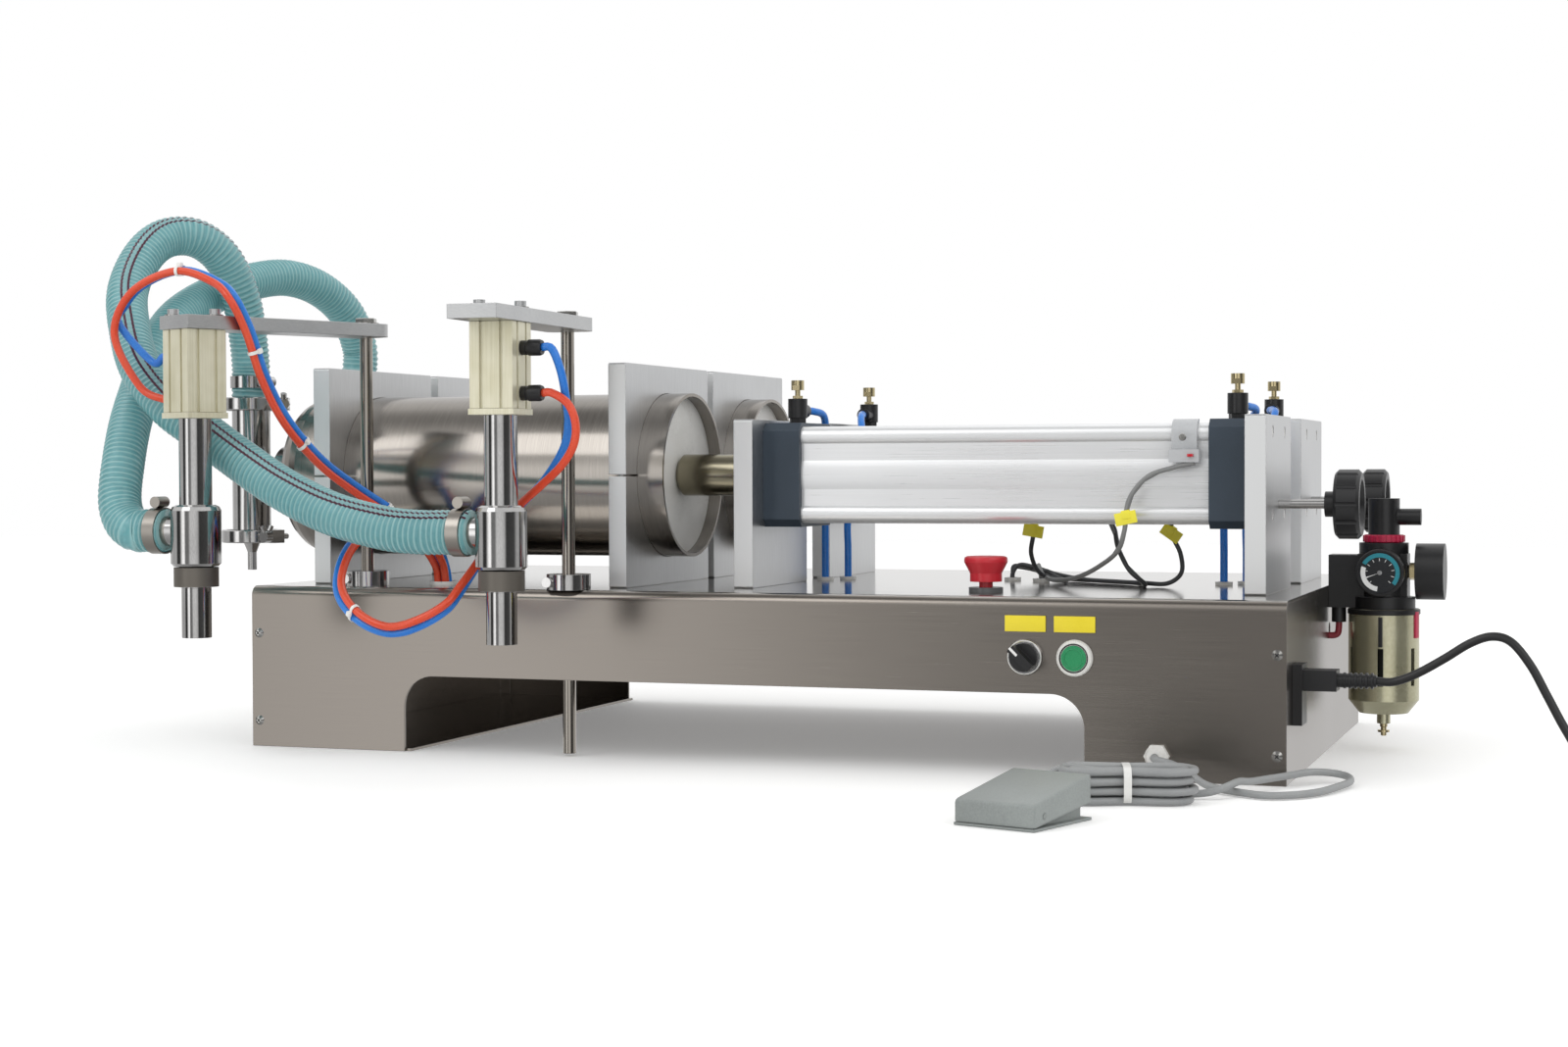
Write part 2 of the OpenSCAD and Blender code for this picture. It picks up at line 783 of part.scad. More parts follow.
// Valves at the cylinder heads
module barbs(z, r, count) {
  for (i = [0 : count - 1]) translate([0, 0, z + i * barb_pitch])
    cylinder(r1 = r, r2 = r - barb_step, h = barb_pitch);
}
module valve_tees() place() color("gainsboro")
  for (y = axes) translate([valve_x, y, 0]) {
    difference() {
      union() {
        rod_z(0, 0, clamp_low, pipe_r, clamp_top - clamp_low);
        rod_z(0, 0, clamp_low + seat, ferrule_r, ferrule);
        rod_z(0, 0, clamp_top - ferrule - seat, ferrule_r, ferrule);
        rod_x(0, 0, axis_z, pipe_r, joint_x - valve_x - seat);
        rod_x(joint_x - valve_x - seat - ferrule, 0, axis_z, ferrule_r, ferrule);
      }
      rod_z(0, 0, clamp_low - cut, pipe_bore, clamp_top - clamp_low + 2 * cut);
      rod_x(0, 0, axis_z, pipe_bore, joint_x - valve_x + cut);
    }
    difference() {
      union() {
        rod_z(0, 0, clamp_top + seat, ferrule_r, ferrule);
        rod_z(0, 0, clamp_top + seat, barb_r - barb_step, tail_top - clamp_top);
        barbs(tail_top - 4 * barb_pitch, barb_r, 4);
      }
      rod_z(0, 0, clamp_top - cut, port_bore, tail_top - clamp_top + 2 * cut);
    }
    difference() {
      union() {
        rod_z(0, 0, clamp_low - seat - ferrule, ferrule_r, ferrule);
        translate([0, 0, clamp_low - seat - inlet_neck])
          cylinder(r1 = inlet_tip_r, r2 = inlet_r, h = inlet_neck - ferrule);
        rod_z(0, 0, inlet_tip, inlet_tip_r, clamp_low - seat - inlet_neck - inlet_tip);
      }
      rod_z(0, 0, inlet_tip - cut, inlet_bore, clamp_low - inlet_tip + 2 * cut);
    }
  }
module tri_clamp() {
  half = clamp_width / 2;
  rotate_extrude() polygon([
    [ferrule_r + seat, -half], [clamp_r - cut, -half], [clamp_r, cut - half],
    [clamp_r, half - cut], [clamp_r - cut, half], [ferrule_r + seat, half]
  ]);
  translate([-clamp_r - clamp_lug / 2, -clamp_lug / 2, -half]) cube([clamp_lug, clamp_lug, clamp_width]);
  translate([clamp_r - cut, -clamp_lug, -half]) cube([clamp_lug + cut, 2 * clamp_lug, clamp_width]);
  translate([clamp_r + clamp_lug / 2, clamp_bolt / 2, 0]) rotate([90, 0, 0]) cylinder(r = clamp_bolt_r, h = clamp_bolt);
  translate([clamp_r + clamp_lug / 2, -clamp_lug - cut, 0]) rotate([90, 0, 0])
    cylinder(r = 2 * clamp_bolt_r, h = clamp_lug);
  for (turn = wing_turns) translate([clamp_r + clamp_lug / 2, -clamp_lug - clamp_lug / 2, 0])
    rotate([turn, 0, 0]) cylinder(r = wing_r, h = wing_span);
}
module hose_clamp(r) {
  difference() {
    cylinder(r = r + hose_clamp_t + seat, h = hose_clamp_w);
    translate([0, 0, -cut]) cylinder(r = r + seat, h = hose_clamp_w + 2 * cut);
  }
  translate([-worm_length / 2, r + hose_clamp_t + worm_r, hose_clamp_w / 2]) rotate([0, 90, 0])
    cylinder(r = worm_r, h = worm_length);
}
module pipe_clamps() place() color("whitesmoke") {
  for (y = axes) {
    translate([joint_x, y, axis_z]) rotate([0, 90, 0]) rotate([0, 0, 90]) tri_clamp();
    translate([valve_x, y, clamp_top]) rotate([0, 0, clamp_turns[0]]) tri_clamp();
    translate([valve_x, y, clamp_low]) rotate([0, 0, clamp_turns[1]]) tri_clamp();
    translate([valve_x, y, tail_top - hose_clamp_set - hose_clamp_w]) rotate([0, 0, clamp_turns[2]])
      hose_clamp(hose_d / 2);
  }
}

// Air cylinders
module air_caps() place() color("darkslategray")
  for (y = axes) for (x = [left_cap, right_cap]) difference() {
    along_x(x, cap_length) chamfered(y - cap_size / 2, axis_z - cap_size / 2, cap_size, cap_size, cap_chamfer);
    if (x == left_cap) rod_x(x - cut, y, axis_z, rod_d / 2 + running, cap_length + 2 * cut);
    if (x == right_cap) rod_x(x - cut, y, stroke_z, stroke_r + running, cap_length + 2 * cut);
    tie_holes(x == left_cap ? x - cut : x + cap_length - tie_grip - cut, y, tie_r + bolt_gap, tie_grip + 2 * cut);
    rod_z(x + cap_length / 2, y, axis_z + cap_size / 2 - flow_stem - cut, flow_stem_r + seat, flow_stem + 2 * cut);
  }
module barrel_outline() {
  circle(air_r + barrel_wall);
  for (s = [[flat_long, flat_short], [flat_short, flat_long]])
    translate([-s[0], -s[1]]) square([2 * s[0], 2 * s[1]]);
  for (a = [-lobe_offset, lobe_offset]) for (b = [-lobe_offset, lobe_offset]) translate([a, b]) circle(lobe_r);
}
module air_barrels() place() color("lightsteelblue")
  for (y = axes) along_x(barrel_start + seat, barrel_length - 2 * seat) translate([y, axis_z]) difference() {
    barrel_outline();
    circle(air_r);
  }

// Flow controls: a body with an elbow on each cap, and a needle that turns in it
cap_top = axis_z + cap_size / 2;
function cap_middle(i) = (i == 0 ? left_cap : right_cap) + cap_length / 2;
module flow_bodies() place() color("black")
  for (i = [0, 1]) for (y = axes) difference() {
    union() {
      rod_z(cap_middle(i), y, cap_top - flow_stem, flow_stem_r, flow_stem + cut);
      translate([cap_middle(i), y, cap_top + running]) cylinder(r = flow_hex_r, h = flow_hex, $fn = 6);
      rod_z(cap_middle(i), y, cap_top + flow_hex, flow_r, flow_height);
      rod_y(cap_middle(i), y < middle_y ? y : y - elbow_length, cap_top + elbow_rise, elbow_r, elbow_length);
    }
    rod_z(cap_middle(i), y, cap_top + flow_hex + flow_height - needle_depth, needle_r + running, needle_depth + cut);
  }
module needle(i, y) {
  top = cap_top + flow_hex + flow_height;
  rod_z(cap_middle(i), y, top - needle_depth + loose, needle_r, needle_depth + needle_stand);
  translate([cap_middle(i), y, top + loose]) cylinder(r = needle_neck, h = needle_neck / 2, $fn = 6);
  difference() {
    translate([cap_middle(i), y, top + needle_stand]) cylinder(r = needle_knob_r, h = needle_knob);
    for (side = [-1, 1]) translate([
      cap_middle(i) - needle_knob_r, y + side * needle_neck - (side < 0 ? needle_knob_r : 0), top + needle_stand - cut
    ]) cube([2 * needle_knob_r, needle_knob_r, needle_knob / 2 + cut]);
  }
}
module needle_front_left() place() color("goldenrod") needle(0, front_axis);
module needle_front_right() place() color("goldenrod") needle(1, front_axis);
module needle_rear_left() place() color("goldenrod") needle(0, rear_axis);
module needle_rear_right() place() color("goldenrod") needle(1, rear_axis);

// Piston trains
module fill_piston(y) {
  r = bore_r - running;
  translate([piston_face - piston_thick, y, axis_z]) rotate([0, 90, 0]) rotate_extrude() polygon([
    [spigot_r + seat, 0], [r, 0], [r, seal_width], [r - seal_groove, seal_width + seal_groove],
    [r - seal_groove, piston_thick - seal_width - seal_groove], [r, piston_thick - seal_width],
    [r, piston_thick], [spigot_r + seat, piston_thick]
  ]);
}
module fill_piston_front() place() color("white") fill_piston(front_axis);
module fill_piston_rear() place() color("white") fill_piston(rear_axis);
module piston_rod(y) {
  start = piston_face + seat;
  coupling_end = start + coupling_length;
  difference() {
    union() {
      rod_x(start - spigot_length, y, axis_z, spigot_r, spigot_length + cut);
      translate([start, y, axis_z]) rotate([0, 90, 0])
        cylinder(r1 = coupling_r - coupling_chamfer, r2 = coupling_r, h = coupling_chamfer);
      rod_x(start + coupling_chamfer, y, axis_z, coupling_r, coupling_length - coupling_chamfer);
    }
    rod_x(coupling_end - coupling_bore, y, axis_z, rod_d / 2 + seat, coupling_bore + cut);
  }
  rod_x(coupling_end - coupling_bore + cut, y, axis_z, rod_d / 2, air_piston_face - air_piston - coupling_end + coupling_bore - cut);
  rod_x(air_piston_face - air_piston - cut, y, axis_z, spigot_r, air_piston);
  difference() {
    translate([coupling_end + cut, y, axis_z]) rotate([0, 90, 0]) cylinder(r = lock_nut_r, h = lock_nut, $fn = 6);
    rod_x(coupling_end, y, axis_z, rod_d / 2 + seat, lock_nut + 2 * cut);
  }
  difference() {
    rod_x(air_piston_face - air_piston, y, axis_z, air_r - running, air_piston);
    rod_x(air_piston_face - air_piston - cut, y, axis_z, spigot_r + seat, air_piston + 2 * cut);
  }
}
module piston_rod_front() place() color("silver") piston_rod(front_axis);
module piston_rod_rear() place() color("silver") piston_rod(rear_axis);

// Stroke screws and handwheels
module stroke_screw(y) {
  rod_x(right_cap - stroke_reach, y, stroke_z, stroke_r, wheel_x + wheel_hub + wheel_thick / 2 - right_cap + stroke_reach);
}
module stroke_screw_front() place() color("silver") stroke_screw(front_axis);
module stroke_screw_rear() place() color("silver") stroke_screw(rear_axis);
module stroke_wheel(y) {
  r = wheel_d / 2;
  difference() {
    translate([wheel_x, y, stroke_z]) rotate([0, 90, 0]) rotate_extrude() polygon([
      [0, 0], [wheel_hub_r, 0], [wheel_hub_r, wheel_hub], [r - wheel_edge, wheel_hub],
      [r, wheel_hub + wheel_edge], [r, wheel_hub + wheel_thick - wheel_edge],
      [r - wheel_edge, wheel_hub + wheel_thick], [r - 3 * wheel_edge, wheel_hub + wheel_thick],
      [r - 4 * wheel_edge, wheel_hub + wheel_thick - wheel_dish], [0, wheel_hub + wheel_thick - wheel_dish]
    ]);
    rod_x(wheel_x - cut, y, stroke_z, stroke_r + running, wheel_hub + wheel_thick / 2 + cut + loose);
    for (k = [0 : wheel_grips - 1]) translate([wheel_x, y, stroke_z]) rotate([360 * k / wheel_grips, 0, 0])
      rod_x(wheel_hub - cut, 0, r + wheel_grip_r / 2, wheel_grip_r, wheel_thick + 2 * cut);
  }
}
module stroke_wheel_front() place() color("black") stroke_wheel(front_axis);
module stroke_wheel_rear() place() color("black") stroke_wheel(rear_axis);

// Nozzles: each side stands on its post, and its arm heads out over the bottle
function nozzle_place(i) = post_places[i]
  + nozzle_reaches[i] * [cos(arm_headings[i]), sin(arm_headings[i])];
module at_nozzle(i) { translate([nozzle_place(i)[0], nozzle_place(i)[1], 0]) children(); }
module on_arm(i) { translate([post_places[i][0], post_places[i][1], 0]) rotate([0, 0, arm_headings[i]]) children(); }
module post_and_arm(i) {
  back = arm_length - nozzle_reaches[i] - arm_ends[i];
  rod_z(post_places[i][0], post_places[i][1], post_bottoms[i], post_d / 2, arm_z + arm_thick + post_proud - post_bottoms[i]);
  on_arm(i) difference() {
    translate([nozzle_reaches[i] + arm_ends[i], 0, arm_z]) rotate([0, 0, 180])
      linear_extrude(arm_thick) round_bar(arm_width, arm_length, arm_corner);
    rod_z(0, 0, arm_z - cut, post_d / 2 + running, arm_thick + 2 * cut);
    for (s = [-1, 1]) rod_z(nozzle_reaches[i] + s * arm_bolt_offset, -s * arm_bolt_offset, arm_z - cut,
      arm_bolt_r + seat, arm_thick + 2 * cut);
  }
  on_arm(i) for (s = [-1, 1]) translate([nozzle_reaches[i] + s * arm_bolt_offset, -s * arm_bolt_offset, 0]) {
    rod_z(0, 0, arm_z, arm_bolt_r, arm_thick + cut);
    rod_z(0, 0, arm_z + arm_thick + running, arm_bolt_head_r, arm_bolt_head);
  }
}
module post_left() place() color("silver") post_and_arm(0);
module post_right() place() color("silver") post_and_arm(1);

module actuator(i) {
  half = actuator_size / 2;
  barrel = actuator_length - end_plate - 2 * seat;
  on_arm(i) translate([nozzle_reaches[i], 0, 0]) {
    difference() {
      translate([0, 0, nozzle_top + end_plate + seat]) linear_extrude(barrel) difference() {
        translate([-half, -half]) square(actuator_size);
        circle(actuator_bore);
        for (turn = [0 : 90 : 270]) rotate(turn) for (s = [-1, 1])
          translate([half - slot_depth, s * slot_offset - slot_width / 2]) square([slot_depth + cut, slot_width]);
      }
    }
    difference() {
      translate([-half - end_plate_lip, -half - end_plate_lip, nozzle_top])
        cube([actuator_size + 2 * end_plate_lip, actuator_size + 2 * end_plate_lip, end_plate]);
      rod_z(0, 0, nozzle_top - cut, valve_rod_r + running, end_plate + 2 * cut);
    }
  }
  at_nozzle(i) rotate([0, 0, port_headings[i]])
    for (z = port_heights) rod_x(half + running, 0, z, port_r, port_reach);
}
module actuator_left() place() color("wheat") actuator(0);
module actuator_right() place() color("wheat") actuator(1);

module nozzle(i) at_nozzle(i) {
  r = nozzle_d / 2;
  difference() {
    union() {
      rod_z(0, 0, body_top - cut, stem_r, stem_length + cut - running);
      translate([0, 0, body_bottom]) rotate_extrude() polygon([
        [0, 0], [r - shoulder / 2, 0], [r, shoulder / 2], [r, body_length - shoulder],
        [r - shoulder / 3, body_length - shoulder / 3], [r - shoulder, body_length], [0, body_length]
      ]);
      rod_z(0, 0, body_bottom - union_thread - groove, union_thread_r, union_thread + groove + cut);
      translate([-r + body_wall, 0, port_z]) rotate([0, -90, 0]) {
        cylinder(r = barb_r - barb_step, h = port_length + body_wall);
        barbs(body_wall + port_length - 3 * barb_pitch, barb_r, 3);
      }
    }
    rod_z(0, 0, body_top - body_wall, stem_bore, stem_length + body_wall - stem_guide);
    rod_z(0, 0, nozzle_top - stem_guide - cut, valve_rod_r + running, stem_guide + 2 * cut);
    rod_z(0, 0, body_bottom + body_wall, r - body_wall, body_length - 2 * body_wall);
    rod_z(0, 0, body_bottom - union_thread - groove - cut, tip_bore, body_wall + union_thread + groove + 2 * cut);
    translate([-body_wall, 0, port_z]) rotate([0, -90, 0]) cylinder(r = port_bore, h = r + port_length + cut);
  }
  difference() {
    rod_z(0, 0, union_bottom, union_r, union_length);
    rod_z(0, 0, union_bottom - cut, tip_d / 2 + seat, union_length + 2 * cut);
    rod_z(0, 0, body_bottom - groove - union_thread - union_flange - seat, union_thread_r + seat, union_length);
  }
  difference() {
    union() {
      rod_z(0, 0, tip_bottom, tip_d / 2, tip_length - cut);
      rod_z(0, 0, tip_bottom, tip_d / 2 - seat, body_bottom - groove - union_thread - seat - tip_bottom);
      rod_z(0, 0, body_bottom - groove - union_thread - union_flange, union_thread_r, union_flange - seat);
    }
    rod_z(0, 0, tip_bottom + mouth, tip_bore, body_bottom - tip_bottom);
    rod_z(0, 0, tip_bottom - cut, mouth_r, mouth + 2 * cut);
  }
  translate([-r - port_length + hose_clamp_set + hose_clamp_w, 0, port_z]) rotate([0, -90, 0]) rotate([0, 0, -90])
    hose_clamp(hose_d / 2 + 2 * running);
}
module nozzle_left() place() color("silver") nozzle(0);
module nozzle_right() place() color("silver") nozzle(1);
module valve_rod(i) at_nozzle(i) {
  plug_top = tip_bottom + mouth + loose;
  piston_low = nozzle_top + end_plate + seat + loose;
  rod_z(0, 0, tip_bottom + loose, mouth_r - running, mouth);
  translate([0, 0, plug_top]) cylinder(r1 = mouth_r - running, r2 = valve_rod_r, h = mouth);
  rod_z(0, 0, plug_top, valve_rod_r, piston_low + valve_piston / 2 - plug_top);
  rod_z(0, 0, piston_low, actuator_bore - running, valve_piston);
}
module valve_rod_left() place() color("silver") valve_rod(0);
module valve_rod_right() place() color("silver") valve_rod(1);

module post_collars() place() color("silver")
  for (p = post_places) translate([p[0], p[1], 0]) {
    difference() {
      rod_z(0, 0, deck, collar_r, collar_height);
      rod_z(0, 0, deck - cut, post_d / 2 + running, collar_height + 2 * cut);
      translate([-collar_r - cut, -collar_slit / 2, deck - cut]) cube([collar_r + cut, collar_slit, collar_height + 2 * cut]);
      rod_y(-collar_r * 2 / 3, -collar_r, deck + collar_height / 2, collar_screw_r + seat, 2 * collar_r);
    }
    rod_y(-collar_r * 2 / 3, -collar_r + collar_screw_r, deck + collar_height / 2, collar_screw_r, collar_r + collar_screw_r);
    rod_y(-collar_r * 2 / 3, -collar_r, deck + collar_height / 2, collar_head_r, collar_screw_r);
  }

// Controls on the front and the deck
module bezel_ring(x) {
  difference() {
    union() {
      rod_y(x, -bezel, button_z, bezel_r, bezel - running);
      rod_y(x, -2 * running, button_z, sleeve_r, sleeve_length);
      translate([x - contact_size / 2, sleeve_length - cut, button_z - contact_size / 2])
        cube([contact_size, contact_length, contact_size]);
    }
    rod_y(x, -bezel - cut, button_z, lens_r + seat, bezel + cut - sheet / 4);
    rod_y(x, -bezel - cut, button_z, stem_fit_r + running, sleeve_length);
  }
}
module control_bezels() place() color("whitesmoke") {
  bezel_ring(button_x);
  bezel_ring(selector_x);
  for (x = [button_x, selector_x])
    translate([x - label_width / 2, -label_thick - running, button_z + label_rise - label_height / 2])
      cube([label_width, label_thick, label_height]);
  difference() {
    union() {
      rod_z(stop_x, stop_y, deck + running, stop_base_r, stop_base);
      rod_z(stop_x, stop_y, deck - sleeve_length, stop_neck_r, sleeve_length + stop_base);
    }
    rod_z(stop_x, stop_y, deck - sleeve_length / 2, stem_fit_r + running, sleeve_length);
  }
}
module start_button() place() color("green") {
  rod_y(button_x, -bezel - lens_proud, button_z, lens_r, lens);
  rod_y(button_x, -bezel - lens_proud, button_z, stem_fit_r, bezel + lens_proud + sleeve_length / 3);
}
module selector_knob() place() color("black") {
  rod_y(selector_x, -bezel - loose - knob_disc, button_z, knob_disc_r, knob_disc);
  rod_y(selector_x, -bezel - loose - cut, button_z, stem_fit_r, bezel + sleeve_length / 3);
  translate([selector_x, 0, button_z]) rotate([0, knob_turn, 0])
    translate([-knob_bar_width / 2, -bezel - loose - knob_disc - knob_bar, -knob_disc_r])
      cube([knob_bar_width, knob_bar + cut, 2 * knob_disc_r]);
}
module emergency_button() place() color("crimson") translate([stop_x, stop_y, deck]) {
  rod_z(0, 0, -sleeve_length / 3, stem_fit_r, stop_lift + sleeve_length / 3 + stop_base + cut);
  translate([0, 0, stop_base + stop_lift]) rotate_extrude() polygon([
    [0, 0], [stop_low_r, 0], [stop_low_r, stop_height / 3], [stop_top_r, stop_height - 2 * stop_crown],
    [stop_top_r, stop_height - stop_crown], [stop_top_r - stop_crown, stop_height], [0, stop_height]
  ]);
}

module grommet_ring(x, y, hole, outer = grommet_r) {
  difference() {
    union() {
      rod_z(x, y, deck + running, outer, grommet);
      rod_z(x, y, deck - sheet - grommet / 2, outer - grommet_lip - seat, sheet + grommet);
    }
    rod_z(x, y, deck - sheet - grommet, hole, sheet + 3 * grommet);
  }
}
module cable_glands() place() color("white") {
  difference() {
    union() {
      translate([gland_x, -running, gland_z]) rotate([90, 0, 0]) cylinder(r = gland_r, h = gland_nut, $fn = 6);
      translate([gland_x, -running - gland_nut, gland_z]) rotate([90, 0, 0])
        cylinder(r1 = gland_r - cut, r2 = gland_tip_r, h = gland_length - gland_nut);
      rod_y(gland_x, -cut, gland_z, gland_r / 2, cut + sheet + gland_nut);
    }
    rod_y(gland_x, -gland_length - cut, gland_z, pedal_cable_d / 2 + seat, gland_length + sheet + gland_nut + 2 * cut);
  }
  for (p = deck_drops) grommet_ring(p[0], p[1], grommet_r - 2 * grommet_lip);
  grommet_ring(nozzle_tube_drop[0], nozzle_tube_drop[1], nozzle_grommet_r - 2 * grommet_lip, nozzle_grommet_r);
}

// Sensor strapped to the front barrel, and both sensors' leads, measured from the right cap
sensor_route = [
  [-11, 102, 262], [-29, 99, 258], [-51, 96, 250], [-67, 96, 230], [-71, 98, 205], [-79, 108, 186],
  [-99, 130, 172], [-127, 165, 160], [-157, 205, 155], [-177, 240, 158], [-188, 268, 166], [-188, 278, 158],
  [-188, 278, 146]
];
wire_route = [
  [-122, 203, 215], [-111, 203, 214], [-101, 198, 203], [-95, 186, 186], [-83, 178, 166], [-71, 190, 153],
  [-89, 230, 152.3], [-129, 262, 152.3], [-169, 292, 153], [-199, 300, 160], [-218, 297, 164], [-220, 295, 156],
  [-220, 295, 146]
];
module reed_sensors() place() color("lightgray") {
  ly = front_axis - lobe_offset;
  lz = axis_z + lobe_offset;
  difference() {
    union() {
      rod_x(sensor_x, ly, lz, strap_r, sensor_width);
      translate([sensor_x, ly - strap_r, lz - 2 * strap_r]) cube([sensor_width, strap_wall + cut, 2 * strap_r]);
    }
    rod_x(sensor_x - cut, ly, lz, lobe_r + seat, sensor_width + 2 * cut);
    translate([sensor_x - cut, ly - strap_r + strap_wall, lz - 3 * strap_r])
      cube([sensor_width + 2 * cut, 3 * strap_r, 3 * strap_r]);
    translate([sensor_x - cut, ly, lz - strap_r]) cube([sensor_width + 2 * cut, 3 * strap_r, 3 * strap_r]);
  }
  translate([sensor_x - cut, ly - strap_r - switch_depth - running, lz - 2 * strap_r])
    cube([switch_length, switch_depth, switch_height]);
  translate([rear_switch_x, front_axis + lobe_offset + lobe_r + loose, axis_z - lobe_offset - switch_height / 2])
    cube([switch_length, switch_depth, switch_height]);
  lead([for (p = sensor_route) p + [right_cap, 0, 0]], 22, wire_d);
  lead([for (p = wire_route) p + [right_cap, 0, 0]], 18, wire_d);
}

// Valve block under the deck and the supply box on the foot
module solenoid_valves() place() color("dimgray") {
  top = deck - sheet - running;
  translate([manifold_x, manifold_y, top - manifold_size[2]]) cube(manifold_size);
  for (k = [0 : 2]) translate([
    manifold_x + coil_gap + k * (coil_size[0] + coil_gap), manifold_y + coil_gap, top - manifold_size[2] - coil_size[2]
  ]) cube([coil_size[0], coil_size[1], coil_size[2] - running]);
}
module power_supply() place() color("gray")
  translate([supply_x, supply_y, sheet + running]) cube(supply_size);

// Mains inlet, its plug and the lead
module mains_inlet() place() color("black") difference() {
  union() {
    translate([frame_length + running, inlet_y - inlet_width / 2, inlet_z])
      cube([inlet_proud, inlet_width, inlet_height]);
    translate([frame_length - inlet_depth, inlet_y - inlet_width / 2 + sheet + seat, inlet_z + sheet + seat])
      cube([inlet_depth + cut, inlet_width - 2 * (sheet + seat), inlet_height - 2 * (sheet + seat)]);
  }
  translate([frame_length + inlet_proud - plug_recess, inlet_y - plug_width / 2 - seat, plug_z - plug_height / 2 - seat])
    cube([plug_recess + cut, plug_width + 2 * seat, plug_height + 2 * seat]);
}
plug_x = frame_length + inlet_proud - plug_recess + seat;
relief_x = plug_x + plug_length;
cord_x = relief_x + relief_length;
module mains_plug() place() color("black") {
  translate([plug_x, inlet_y - plug_width / 2, plug_z - plug_height / 2]) cube([plug_length, plug_width, plug_height]);
  translate([relief_x, inlet_y, plug_z]) rotate([0, 90, 0]) cylinder(r1 = relief_r + cut, r2 = relief_r, h = relief_length);
}
mains_route = [
  [1040, 47.5, 83], [1058, 46, 90], [1080, 43, 103], [1100, 40, 116], [1117, 38, 122],
  [1132, 36, 118], [1147, 33, 100], [1160, 30, 76], [1174, 26, 50], [1190, 20, 26], [1212, 8, 9],
  [1236, -4, 4]
];
mains_steps = 24;

// The lead's unseen length in a round coil: three turns in, a climb, and three turns out
coil_centre = [1275, 42];
coil_turns = 3;
coil_inner = 26;
coil_gap_share = 1.1;
coil_pitch = mains_d * coil_gap_share;
coil_rings = 24;
coil_run_out = 40;
coil_low = mains_d / 2 + loose;
function coil_radius(t) = coil_inner + coil_pitch * abs(coil_turns - t);
climb_share = 0.5;
function climb(t, at) = min(1, max(0, (t - at) / climb_share + climb_share));
function coil_point(t) = let (a = 360 * t - 90, r = coil_radius(t))
  [coil_centre[0] + r * cos(a), coil_centre[1] + r * sin(a), coil_low + coil_pitch * climb(t, coil_turns)];
coil_first = coil_point(0) - [mains_d, 0, 0];
coil_last = coil_point(2 * coil_turns) + [coil_run_out, 0, 0];
coil_path = concat(
  [coil_first],
  [for (k = [0 : 2 * coil_turns * coil_rings]) coil_point(k / coil_rings)],
  [coil_last - [mains_d, 0, 0], coil_last]
);
module mains_cord() place() color("black") lead(concat(
  [[cord_x, inlet_y, plug_z], [cord_x + mains_d, inlet_y, plug_z]], mains_route,
  [coil_first - [2 * mains_d, 0, 0], coil_first - [mains_d, 0, 0], coil_first]
), mains_steps, mains_d);
module mains_coil() place() color("black") {
  echo("least gap of the mains coil to itself", least_gap(coil_path, mains_d));
  tube(coil_path, mains_d / 2, 6);
}
plug_boot = 22;
plug_body_r = 11.3;
plug_body = 28;
plug_pin_r = 2.4;
plug_pin = 19;
plug_pin_offset = 6;
module wall_plug() place() color("black") translate(coil_last) {
  rotate([0, 90, 0]) cylinder(r1 = mains_d / 2 + cut, r2 = plug_body_r * 2 / 3, h = plug_boot);
  rod_x(plug_boot, 0, 0, plug_body_r, plug_body);
  for (s = [-1, 1]) rod_x(plug_boot + plug_body - cut, s * plug_pin_offset, 0, plug_pin_r, plug_pin + cut);
}

// Pedal: a base plate with its switch box, and a hinged wedge that covers it
module on_pedal() { translate([pedal_place[0], pedal_place[1], 0]) rotate([0, 0, pedal_turn]) children(); }
module pedal_base() place() color("gray") on_pedal() {
  difference() {
    union() {
      cube([pedal_width, pedal_length, pedal_plate]);
      translate([pedal_box_inset, pedal_box_inset, 0])
        cube([pedal_width - 2 * pedal_box_inset, pedal_length - 2 * pedal_box_inset, pedal_box]);
      rod_y(pedal_exit, pedal_length - pedal_box_inset - cut, pedal_cable_d, pedal_boss_r,
        pedal_box_inset + cut + pedal_boss_proud);
    }
    rod_x(pedal_wall, pedal_pin_y, pedal_pin_z, pedal_pin_r + seat, pedal_width);
  }
  rod_x(-cut / 2, pedal_pin_y, pedal_pin_z, pedal_pin_r, pedal_width + cut);
}
module wedge(inset, drop) {
  polygon([
    [inset, pedal_skirt_front - (inset > 0 ? cut : 0)],
    [pedal_length - inset, pedal_skirt_rear - (inset > 0 ? cut : 0)],
    [pedal_length - inset, pedal_rear_high - drop], [inset, pedal_front_high - drop]
  ]);
}
module pedal_lever() place() color("gray") on_pedal() difference() {
  along_x(0, pedal_width) wedge(0, 0);
  along_x(pedal_wall, pedal_width - 2 * pedal_wall) wedge(pedal_wall, pedal_wall);
  rod_x(-cut, pedal_pin_y, pedal_pin_z, pedal_pin_r + running, pedal_width + 2 * cut);
  translate([pedal_exit - pedal_notch / 2, pedal_length - 2 * pedal_wall, -cut])
    cube([pedal_notch, 3 * pedal_wall, pedal_notch_top + cut]);
}

